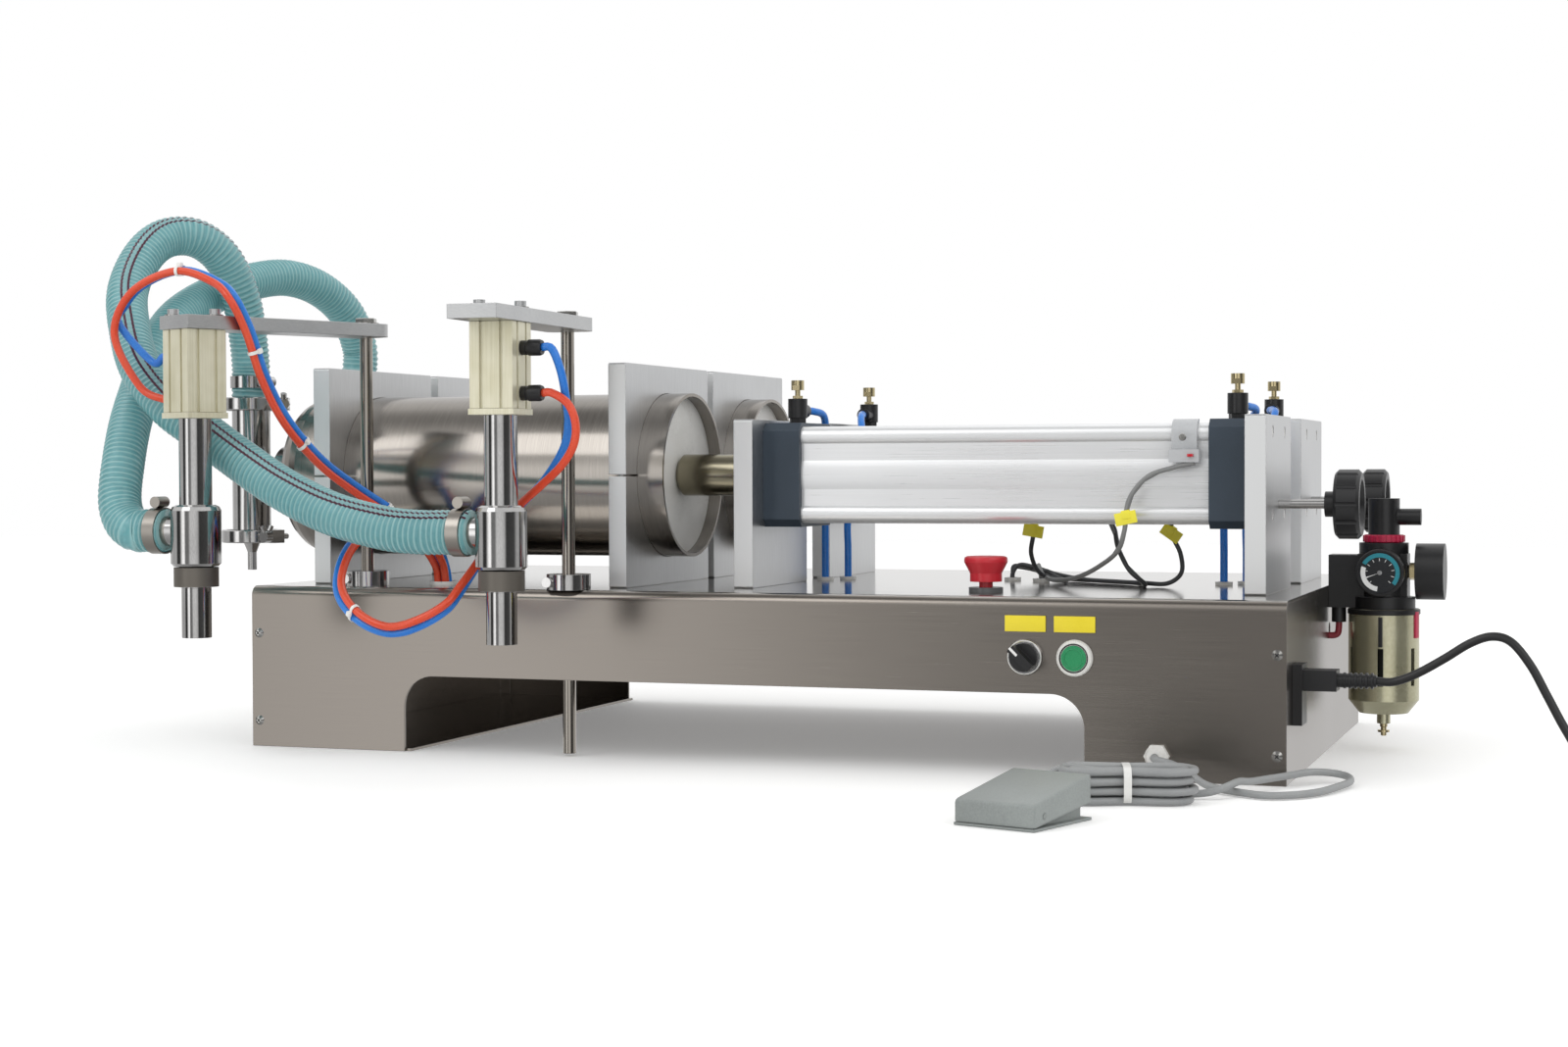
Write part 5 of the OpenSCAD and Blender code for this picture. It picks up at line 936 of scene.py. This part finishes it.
def piece_of(name, shapes, material, body="machine"):
    """One piece from several shapes, with its material and body."""
    points, faces = [], []
    for more_points, more_faces in shapes:
        faces += [tuple(len(points) + i for i in f) for f in more_faces]
        points += more_points
    piece = make_mesh(name, points, faces)
    piece.data.set_sharp_from_angle(angle=math.radians(32))
    piece.data.materials.append(material)
    if body:
        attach(piece, body)
    return piece


# %% [markdown]
# The panel's two label plates are engraved laminate over the controls. They stay bare here. The controls have
# turned rings, one of chrome and one of white plastic, and the selector a white line on its bar.

# %% Panel
# Engraved laminate: flat yellow and satin. Chrome: nearly a mirror. Line paint: matt white. Recesses: painted shade,
# near black as if no light reached them.
yellow = plastic("yellow_laminate", "#E8D21F", "#F6E338", (0.3, 0.42), 0.8, 0.04)
chrome = surface("chromed_ring", 1.0, "#B9B9BA", "#CFCFD0", (0.08, 0.16), 0.6, bump=0.02)
line_white = plastic("white_line_paint", "#E6E6E4", "#F5F5F3", (0.4, 0.5), 0.5, 0.03)
painted_shade = plastic("painted_recess_shade", "#0E0E0F", "#1A1A1B", (0.5, 0.6), 0.5)
selector_x, start_x, control_z, label_z = 744, 786, 100, 128
pointer_out, pointer_front, button_front = 5.6, -20.95, -5.6
for name, x, ring in (("selector", selector_x, chrome), ("start", start_x, white)):
    piece_of(f"label_plate_{name}", [block((x, -0.85, label_z), (35, 1.7, 13.5), 0.6)], yellow)
    piece_of(f"{name}_bezel_ring", [turned((x, 0, control_z), to_front, [
        (15.4, 0.1), (15.4, 1.6), (14.6, 3.6), (13.2, 5.2), (12.4, 5.2), (12.4, 4.4), (13.0, 3.0), (13.0, 0.1),
    ], closed=True)], ring)
piece_of("selector_pointer", [
    block((selector_x - pointer_out, pointer_front, control_z + pointer_out), (2.2, 0.5, 9), 0.2, -45, "Y"),
], line_white, "mode_selector")
piece_of("start_button_ring", [turned((start_x, button_front, control_z), to_front, [
    (8.4, 0), (8.4, 0.5), (7.8, 0.7), (7.4, 0.5), (7.4, 0),
], closed=True)], green_button, "start")
# Painted shade: a dark ring in the gap between the bezel and the button.
piece_of("start_bezel_gap", [turned((start_x, 0, control_z), to_front, [
    (12.35, 4.2), (12.35, 4.9), (11.3, 4.9), (11.3, 4.2),
], closed=True)], painted_shade)
# Painted shade: dark crosses in the front screws' recesses.
piece_of("front_screw_recesses", [
    block((x, -2.3, z), (4.2, 0.5, 0.9), 0.1, turn, "Y") for x in (7.5, 952.5) for z in (24, 106) for turn in (45, -45)
], painted_shade)
mushroom_foot = (689, 80, 159)
piece_of("mushroom_cap", [turned(mushroom_foot, upright, [
    (13.9, 8), (15.8, 12), (18.6, 16.2), (19.05, 17.6), (19.05, 19.6), (18.4, 21.2), (16.5, 22.05), (12, 22.3),
    (0.5, 22.4),
], 64)], red_button, "emergency_stop")
print("panel controls at x", selector_x, start_x)

# %% [markdown]
# The arms are bolted down to the actuators with socket screws on washers, and a nut holds each post. A hex
# socket is only a flat six-sided patch of painted shade at this size.

# %% Arm screws and post nuts
posts = {"left": ((104, 34), 246, 186), "right": ((319, 15), 272.5, 150)}
arm_top, washer_high, head_high, screw_out = 394, 1.2, 6.05, 13
for name, (post, heading, reach) in posts.items():
    turn = math.radians(heading)
    ahead = Vector((math.cos(turn), math.sin(turn), 0))
    across = Vector((-ahead.y, ahead.x, 0))
    washers, sockets = [], []
    for s in (-1, 1):
        x, y, _ = Vector((*post, 0)) + ahead * (reach + s * screw_out) - across * s * screw_out
        washers.append(turned((x, y, arm_top), upright, [
            (5.1, 0.1), (7.4, 0.1), (7.4, washer_high), (5.1, washer_high),
        ], closed=True))
        sockets.append(turned((x, y, arm_top + head_high), upright, [(2.6, 0), (2.6, 0.15)], 6))
    nut = [
        turned((*post, arm_top), upright, [(6.05, 0.05), (12, 0.05), (12, 1.6), (6.05, 1.6)], closed=True),
        turned((*post, arm_top + 1.6), upright, [
            (6.05, 0), (9.6, 0), (10.2, 0.6), (10.2, 3.4), (9.6, 4.2), (6.05, 4.2),
        ], 6, True),
    ]
    body = f"{name}_nozzle_set"
    piece_of(f"arm_washers_{name}", washers, zinc, body)
    # Painted shade: a flat dark hexagon stands for each hex socket.
    piece_of(f"arm_sockets_{name}", sockets, painted_shade, body)
    piece_of(f"post_nut_{name}", nut, zinc, body)
    print("screws and nut", name)

# %% [markdown]
# Push-in fittings take the air tubes at the actuators' sides: a threaded collar, a neck and a black release
# ring. One turned profile with a hole through it is enough, and the tube runs into the hole.

# %% Push-in fittings
# The black moulded plastic above.
port_face = 19.6
for name, (x, y), heading in (("left", (28.35, -135.92), 156), ("right", (325.54, -134.86), 2.5)):
    way = Vector((math.cos(math.radians(heading)), math.sin(math.radians(heading)), 0))
    piece_of(f"port_fittings_{name}", [turned((x + way.x * port_face, y + way.y * port_face, z), way, [
        (5.03, 0), (6.2, 0), (6.2, 4.6), (5.5, 5.2), (5.5, 6.2), (6.9, 6.8), (6.9, 16.4), (6, 18.6), (3.7, 18.6),
        (3.7, 18.2), (5.03, 18.2),
    ], 32, True) for z in (322, 360)], black, f"{name}_nozzle_set")
    print("fittings", name)

# %% [markdown]
# The piston rods carry a blackened lock nut behind the coupling, and the sensor a red lamp and a strap screw.

# %% Lock nuts and lamp
# Blackened steel: dark and satin, brown-grey where edges rub. The lamp's lens: glossy red acrylic.
black_oxide = surface(
    "black_oxide_steel", 0.4, "#191716", "#262321", (0.3, 0.42), 0.6, edge_mm=0.6, worn="#4A4643",
)
lamp_red = plastic("red_lamp_lens", "#B01020", "#E02838", (0.1, 0.2), 0.5, 0.02)
lock_nut_x, axis_z = 436.4, 252.5
for name, y in zip(("front", "rear"), axis_rows):
    piece_of(f"lock_nut_{name}", [turned((lock_nut_x, y, axis_z), to_right, [
        (12.7, 0), (16.4, 0), (18.4, 1.5), (18.4, 10.8), (16.4, 12.2), (12.7, 12.2),
    ], 6, True)], black_oxide, f"piston_train_{name}")
piece_of("sensor_lamp", [block((865, 98.6, 268.4), (5, 9.6, 2.4), 0.5)], lamp_red)
piece_of("strap_screw", [turned((858, 98.9, 284), to_front, [
    (3.2, 0), (3.2, 1.6), (2.6, 2.4), (0.3, 2.5),
])], zinc)
print("lock nuts at y", axis_rows)

# %% [markdown]
# The filter has a crimson lock ring with grips, and a bowl with tabs, a window and a drain. All of them stand
# round one axis, so each block is placed by an angle and a distance from it.

# %% Filter ring, tabs and drain
# Dyed nylon: a strong crimson, satin.
crimson = plastic("crimson_nylon", "#A3143A", "#C41F4B", (0.3, 0.42), 0.7)
fx, fy = filter_axis
ring_grips = 24


def round_filter(r, z, turn, size, bevel):
    """A block on the filter's outside at a turn in radians."""
    return block((fx + r * math.cos(turn), fy + r * math.sin(turn), z), size, bevel, math.degrees(turn))


piece_of("lock_ring", [turned((fx, fy, 189.3), upright, [
    (14.2, 0), (17.2, 0), (18, 0.8), (18, 6.2), (17.2, 7), (14.2, 7),
], 96, True)] + [
    round_filter(18.1, 192.8, 2 * math.pi * k / ring_grips, (1.4, 1.8, 6), 0.3) for k in range(ring_grips)
], crimson, "regulator")
piece_of("bowl_tabs", [round_filter(31.9, 115, turn, (1.6, 7, 24), 0.6) for turn in (-0.35, 0.5)], crimson)
# Painted shade: a dark strip stands for the slot in the guard.
piece_of("bowl_window", [round_filter(31.45, 109, math.radians(-90), (0.4, 3.8, 27), 0.15)], painted_shade)
piece_of("bowl_collar", [turned((fx, fy, 124), upright, [
    (31.55, 0), (32.4, 0.4), (32.4, 4.4), (31.2, 5.0), (28.2, 5.0), (28.2, 4.95), (31.5, 4.9),
], 64, True)], black)
piece_of("drain_screw", [
    turned((fx, fy, 12.5), upright, [(1.6, 0), (2.6, 0.4), (2.6, 8), (3.4, 8.6), (3.4, 11.5)], 32),
    turned((fx, fy, 16), upright, [(2.7, 0), (5.4, 0), (5.4, 2), (2.7, 2)], 12, True),
], brass)
print("filter axis at", filter_axis)

# %% [markdown]
# A gauge is a dark face with bands, ticks and a hand in a black case. The bands and ticks are printed on the real
# one. Here they are thin raised arcs, which stay sharp at any distance. The numbers can't be read, so the dial
# has none.

# %% Gauges
# Printed dials, satin enough for the marks to read.
dial_black = plastic("black_dial", "#16181B", "#22252A", (0.25, 0.35), 0.6, 0.02)
dial_teal = plastic("teal_dial_band", "#1D7F8E", "#2796A6", (0.3, 0.4), 0.6, 0.02)
dial_white = plastic("white_dial_paint", "#E8E9E8", "#F6F6F5", (0.35, 0.45), 0.6, 0.02)
gauge_z = 163


def arc(place, axis, start, first, last, inner, outer, height=0.5, steps=40):
    """A flat band round part of a dial, angles in degrees."""
    ahead = Vector(axis).normalized()
    side, across = Vector(start), ahead.cross(Vector(start))
    rows = []
    for i in range(steps + 1):
        turn = math.radians(first + (last - first) * i / steps)
        way = math.cos(turn) * side + math.sin(turn) * across
        rows.append([
            at(*place) + (r * way + h * ahead) * MM
            for r, h in ((inner, 0), (outer, 0), (outer, height), (inner, height))
        ])
    return skin(rows)


def gauge(name, place, axis, start, r):
    """A dial with its bezel, bands, ticks and hand. start is where its zero points."""
    dial = (place, axis, start)
    piece_of(f"{name}_bezel", [turned(place, axis, [
        (r - 0.6, -9), (r + 0.2, -8.6), (r + 0.2, 0.6), (r - 0.6, 1.4), (r - 2.2, 1.4), (r - 2.6, 0.2),
    ], 72, True)], black)
    piece_of(f"{name}_face", [turned(place, axis, [(r - 2.4, 0.1), (r - 2.4, 0.3), (0.3, 0.32)], 72)], dial_black)
    piece_of(f"{name}_band", [arc(*dial, -40, 150, r * 0.66, r * 0.84)], dial_teal)
    ticks = [arc(*dial, -45 + 27 * k, -44 + 27 * k + 1.5, r * 0.5, r * 0.62) for k in range(11)]
    low_band = arc(*dial, 160, 262, r * 0.6, r * 0.8)
    hand = arc(*dial, 199, 203, r * 0.02, r * 0.6, 0.8)
    piece_of(f"{name}_marks", [*ticks, low_band, hand], dial_white)
    piece_of(f"{name}_hub", [turned(place, axis, [(r * 0.1, 0.3), (r * 0.1, 1.2), (0.2, 1.3)], 24)], chrome)
    print(name, len(ticks), "ticks")


gauge("front_gauge", (fx, 251.7, gauge_z), to_front, to_right, 21)
gauge("side_gauge", (1060.4, fy, gauge_z), to_right, (0, 1, 0), 25.3)
piece_of("gauge_stem_collars", [turned((1031, fy, gauge_z), to_right, [
    (6.05, 0), (8.2, 0), (8.2, 5.6), (6.05, 5.6),
], 6, True)], brass)

# %% [markdown]
# A dark red tube brings the air to the regulator. It only shows between two fittings, so a short sweep does.

# %% Supply tube
# Dyed polyurethane: dark red and glossy.
maroon = plastic("dark_red_supply_tube", "#7A1F2A", "#98303C", (0.25, 0.35), 1.2, 0.04)
supply_line = smooth([
    (968.5, 283.5, 120), (968.5, 283.5, 112), (967.5, 283.5, 106), (964, 283.5, 104), (958, 283.5, 104),
], 6)
supply_d = 6
supply_tube = sweep("supply_tube", [at(*p) for p in supply_line], supply_d / 2 * MM, sides=20)
supply_tube.data.materials.append(maroon)
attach(supply_tube, "machine")
print("supply tube", round(run_of([at(*p) for p in supply_line])[-1], 3), "m")

# %% [markdown]
# White cable ties hold each red air tube to its blue one. A tie is a thin band pulled tight round both, with a
# small square head.

# %% Cable ties
# Moulded nylon: white and satin.
tie_white = plastic("white_nylon", "#E3E3DF", "#F3F3F0", (0.3, 0.42), 0.6, 0.04)
tie_width, tie_sides, tie_thick = 3.0, 36, 1.12
tube_flex = {"left": ((100, 60, 300), (100, -112, 300)), "right": ((185, -100, 200), (350, -100, 200))}


def tie_round(line, other, share):
    """A band round two tubes at a share of the first one's length, and its head."""
    i = round(share * (len(line) - 1))
    p = line[i]
    q = min(other, key=lambda c: (c - p).length)
    ahead = (line[i + 1] - line[i - 1]).normalized()
    side = (q - p) - ahead * (q - p).dot(ahead)
    half = side.length / 2
    side.normalize()
    across = ahead.cross(side)
    middle = (p + q) / 2
    r = (air_tube_seen / 2 + 0.5) * MM
    outline = []
    for k in range(tie_sides):
        turn = 2 * math.pi * k / tie_sides
        outline.append(((half if math.cos(turn) > 0 else -half) + r * math.cos(turn), r * math.sin(turn)))
    band = skin([[
        middle + side * (u * (1 + (grow - 1) * 0.6)) + across * v * grow * 1.02 + ahead * (a * tie_width / 2 * MM)
        for u, v in outline
    ] for a, grow in ((-1, 1), (1, 1), (1, tie_thick), (-1, tie_thick))], True)
    stand = Matrix.Translation(middle + across * (r + 1.6 * MM)) @ Matrix((side, across, ahead)).transposed().to_4x4()
    return [band, bevelled_box((4.6, 3.4, 4.6), 0.5, stand)]


def line_of(piece, sides=16):
    """The middle line of a swept tube, from its own rings."""
    co = [v.co.copy() for v in piece.data.vertices]
    return [sum(co[i:i + sides], Vector()) / sides for i in range(0, len(co), sides)]


for side_name, red, blue, shares in (
    ("left", line_of(red_left), line_of(blue_left), (0.3, 0.5, 0.66, 0.84)),
    ("right", line_of(red_right), line_of(blue_right), (0.32, 0.56, 0.74)),
):
    shapes = [shape for share in shares for shape in tie_round(red, blue, share)]
    ties = piece_of(f"cable_ties_{side_name}", shapes, tie_white, body=None)
    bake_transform(ties)
    print(ties.name, len(shares))

# %% [markdown]
# Yellow slips mark the sensor leads. Each is a folded slip of vinyl with the lead through its fold.

# %% Wire markers
# Vinyl: soft and bright yellow.
vinyl = plastic("yellow_vinyl", "#EBDD26", "#FBF04A", (0.32, 0.44), 0.7)
for name, lead, share, turn in (
    ("wire_marker_1", sensor_lead_left, 0.06, 10), ("wire_marker_3", sensor_lead_right, 0.05, 35),
    ("wire_marker_2", sensor_lead_front, 0.29, -12),
):
    line = line_of(lead, lead_sides)
    x, y, z = (line[round(share * (len(line) - 1))] - corner) / MM
    piece_of(name, [
        block((x, y - 1.5, z - 3), (19, 1.2, 11), 0.3, turn, "Y"), block((x, y, z), (8, 5.6, 8), 1.2, turn, "Y"),
    ], vinyl)
    print(name, "on", lead.name)

# %% [markdown]
# The hank's tie is a broad white band round its waist. The mains plug's boot has ribs that let it bend, and
# the wall plug has nickelled pins.

# %% Hank tie, plug ribs and pins
tie_half_wide, tie_half_high, tie_middle, tie_corners = 23.2, 14.4, 14.75, 48
outline = []
for k in range(tie_corners):
    turn = 2 * math.pi * k / tie_corners
    outline.append((
        math.copysign(abs(math.cos(turn)) ** 0.6, math.cos(turn)) * tie_half_wide,
        tie_middle + math.copysign(abs(math.sin(turn)) ** 0.6, math.sin(turn)) * tie_half_high,
    ))
rows = [[
    at(*on_hank(u, v + math.copysign(grow, v)), max(0.1, z + (grow if z > tie_middle else -0.2 * grow)))
    for v, z in outline
] for u, grow in ((-3, 0), (3, 0), (3, 0.9), (-3, 0.9))]
hank_tie = piece_of("hank_tie", [skin(rows, True)], tie_white)
plug_ribs = piece_of("mains_plug_ribs", [turned((999.2 + 4.4 * k, 48, 83), to_right, [
    (4.5, 0), (6.6, 0.5), (6.6, 2.4), (4.5, 2.9),
], 32, True) for k in range(6)], black)
pin_start = 50.2
pins = piece_of("wall_plug_pins", [turned((coil_last.x + pin_start, coil_last.y + s, coil_last.z), to_right, [
    (2.45, 0), (2.45, 17), (1.6, 18.75), (0.3, 18.8),
], 24) for s in (-6, 6)], brass)
print("coil ends at", tuple(round(c, 1) for c in coil_last))

# %% [markdown]
# The pedal is a painted casting, so its outer edges are well rounded. The cover is the CAD flap with every edge
# that meets its top bevelled.

# %% Pedal cover
cover_round = 2.2
cover = bmesh.new()
cover.from_mesh(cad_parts["pedal_lever"].data)
bmesh.ops.remove_doubles(cover, verts=cover.verts, dist=1e-6)
bmesh.ops.dissolve_limit(cover, angle_limit=math.radians(1), verts=cover.verts, edges=cover.edges)
corners = set(max((f for f in cover.faces if f.normal.z > 0.5), key=lambda f: f.calc_area()).verts)
outer = [e for e in cover.edges if corners & set(e.verts)]
print("pedal cover:", len(outer), "edges rounded")
bmesh.ops.bevel(
    cover, geom=outer, offset=cover_round * MM, segments=4, affect="EDGES", profile=0.5, clamp_overlap=False,
)
pedal_cover = piece_of("pedal_cover", [taken(cover)], pedal_paint, "pedal_flap")
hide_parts("pedal_lever")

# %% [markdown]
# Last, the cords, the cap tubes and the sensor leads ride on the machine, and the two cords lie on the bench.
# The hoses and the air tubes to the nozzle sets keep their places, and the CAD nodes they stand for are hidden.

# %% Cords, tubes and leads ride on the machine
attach(mains_lead, "machine")
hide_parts("mains_cord", "mains_coil")
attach(pedal_lead, "machine")
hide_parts("pedal_cable", "pedal_hank")


def flexes(piece, body, start, end, slot, *nodes):
    """Bakes a hose or tube's place into its mesh and hides the CAD nodes it stands for."""
    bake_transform(piece)
    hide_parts(*nodes)


flexes(hose_left, "left_nozzle_set", (-100, 330, 300), (-100, -90, 300), "teal_hose", "product_hose_left")
flexes(hose_right, "right_nozzle_set", (40, -98, 300), (275, -98, 300), "teal_hose", "product_hose_right")
flexes(red_left, "left_nozzle_set", *tube_flex["left"], "red_tube", "red_air_tubes")
flexes(blue_left, "left_nozzle_set", *tube_flex["left"], "blue_tube", "blue_air_tubes")
flexes(red_right, "right_nozzle_set", *tube_flex["right"], "red_tube", "red_air_tubes")
flexes(blue_right, "right_nozzle_set", *tube_flex["right"], "blue_tube", "blue_air_tubes")
for piece in cap_tubes:
    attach(piece, "machine")
    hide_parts("blue_air_tubes")
for piece in (sensor_lead_front, sensor_lead_rear, sensor_lead_left, sensor_lead_right):
    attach(piece, "machine")

# %% [markdown]
# A large pale floor carries a soft shadow, and three wide lamps give plain light. The world is plain white to
# the camera, as in the photograph. But polished steel only looks like steel when it has something to mirror, so
# reflected rays meet a studio: pale walls with dark openings between them, one bright window to the left of the
# front, and a pale ceiling that is dark overhead.

# %% Floor
# Matt white laminate: it shows a soft shadow and nothing else.
floor_half, floor_z, floor_lift = 6, -0.0003, 0.2
floor = make_mesh(
    "floor", [(x * floor_half, y * floor_half, floor_z) for x, y in ((-1, -1), (1, -1), (1, 1), (-1, 1))],
    [(0, 1, 2, 3)], flat=True,
)
floor_paint, tree, shader, _ = new_material("white_table")
shader.inputs["Base Color"].default_value = linear("#FAFAF9")
shader.inputs["Roughness"].default_value = 0.7
shader.inputs["Emission Color"].default_value = (1, 1, 1, 1)
lift = add_node(tree, "ShaderNodeMath", {
    0: tree.nodes.new("ShaderNodeLightPath").outputs["Is Camera Ray"], 1: floor_lift,
}, operation="MULTIPLY")
tree.links.new(lift.outputs[0], shader.inputs["Emission Strength"])
floor.data.materials.append(floor_paint)
floor.visible_glossy = False
print("floor", 2 * floor_half, "m wide")

# %% Studio and background
world = bpy.data.worlds.new("studio")
bpy.context.scene.world = world
world.use_nodes = True
tree = world.node_tree
back = tree.nodes["Background"]
path = tree.nodes.new("ShaderNodeLightPath").outputs
way = add_node(tree, "ShaderNodeSeparateXYZ", {0: tree.nodes.new("ShaderNodeTexCoord").outputs["Generated"]}).outputs


def ramp(value, low, high, stops):
    """Grey as a function of a value: stops give the value and the grey."""
    share = add_node(tree, "ShaderNodeMapRange", {"Value": value, "From Min": low, "From Max": high})
    node = add_node(tree, "ShaderNodeValToRGB", {"Fac": share.outputs[0]})
    points = node.color_ramp.elements
    while len(points) < len(stops):
        points.new(0.5)
    for point, (place, grey) in zip(points, stops):
        point.position = (place - low) / (high - low)
        point.color = (grey, grey, grey, 1)
    return node.outputs[0]


# Degrees from the right, through the back at 90 and the front at -90, and the grey that is mirrored there.
walls = [
    (-180, 0.6), (-156, 0.7), (-150, 0.06), (-134, 0.06), (-126, 1.1), (-120, 1.9), (-112, 1.9), (-107, 0.3),
    (-92, 0.3), (-84, 1.0), (-62, 1.0), (-50, 0.75), (-42, 0.07), (-6, 0.1), (6, 0.6), (60, 0.9), (120, 0.95),
    (180, 0.6),
]
azimuth = add_node(tree, "ShaderNodeMath", {0: way[1], 1: way[0]}, operation="ARCTAN2")
round_about = ramp(azimuth.outputs[0], -math.pi, math.pi, [(math.radians(a), grey) for a, grey in walls])
ceiling = [(-1, 0.35), (-0.4, 0.7), (0.3, 0.8), (0.5, 1.0), (0.8, 1.0), (0.9, 0.35), (1, 0.2)]
height = ramp(way[2], -1, 1, ceiling)
steep = add_node(tree, "ShaderNodeMath", {0: way[2]}, operation="ABSOLUTE")
steep = add_node(tree, "ShaderNodeMapRange", {"Value": steep.outputs[0], "From Min": 0.15, "From Max": 0.42})
mirrored = add_node(tree, "ShaderNodeMix", {"Factor": steep.outputs[0], 6: round_about, 7: height}, data_type="RGBA")
tone = add_node(tree, "ShaderNodeMix", {
    "Factor": path["Is Glossy Ray"], 6: (1, 1, 1, 1), 7: mirrored.outputs[2],
}, data_type="RGBA")
tree.links.new(tone.outputs[2], back.inputs["Color"])
seen = add_node(tree, "ShaderNodeMath", {0: path["Is Camera Ray"], 1: path["Is Glossy Ray"]}, operation="MAXIMUM")
seen = add_node(tree, "ShaderNodeMath", {0: seen.outputs[0], 1: path["Is Transmission Ray"]}, operation="MAXIMUM")
dim_light = 0.86
strength = add_node(tree, "ShaderNodeMapRange", {"Value": seen.outputs[0], "To Min": dim_light, "To Max": 1.0})
tree.links.new(strength.outputs[0], back.inputs["Strength"])
print("studio of", len(walls), "stops round and", len(ceiling), "up")

# %% Lamps
machine_middle = Vector((0, 0, 0.2))
for name, place, size, power in (
    ("key_lamp", (-1.4, -2.2, 2.4), 1.6, 15), ("fill_lamp", (2.4, -1.6, 1.6), 1.6, 9),
    ("top_lamp", (0.2, 0.8, 2.8), 2.0, 8),
):
    lamp = bpy.data.lights.new(name, "AREA")
    lamp.shape = "SQUARE"
    lamp.size = size
    lamp.energy = power
    holder = bpy.data.objects.new(name, lamp)
    bpy.context.scene.collection.objects.link(holder)
    facing_middle = (machine_middle - Vector(place)).to_track_quat("-Z", "Y").to_matrix().to_4x4()
    holder.matrix_world = Matrix.Translation(Vector(place)) @ facing_middle
    print(name, power, "W")
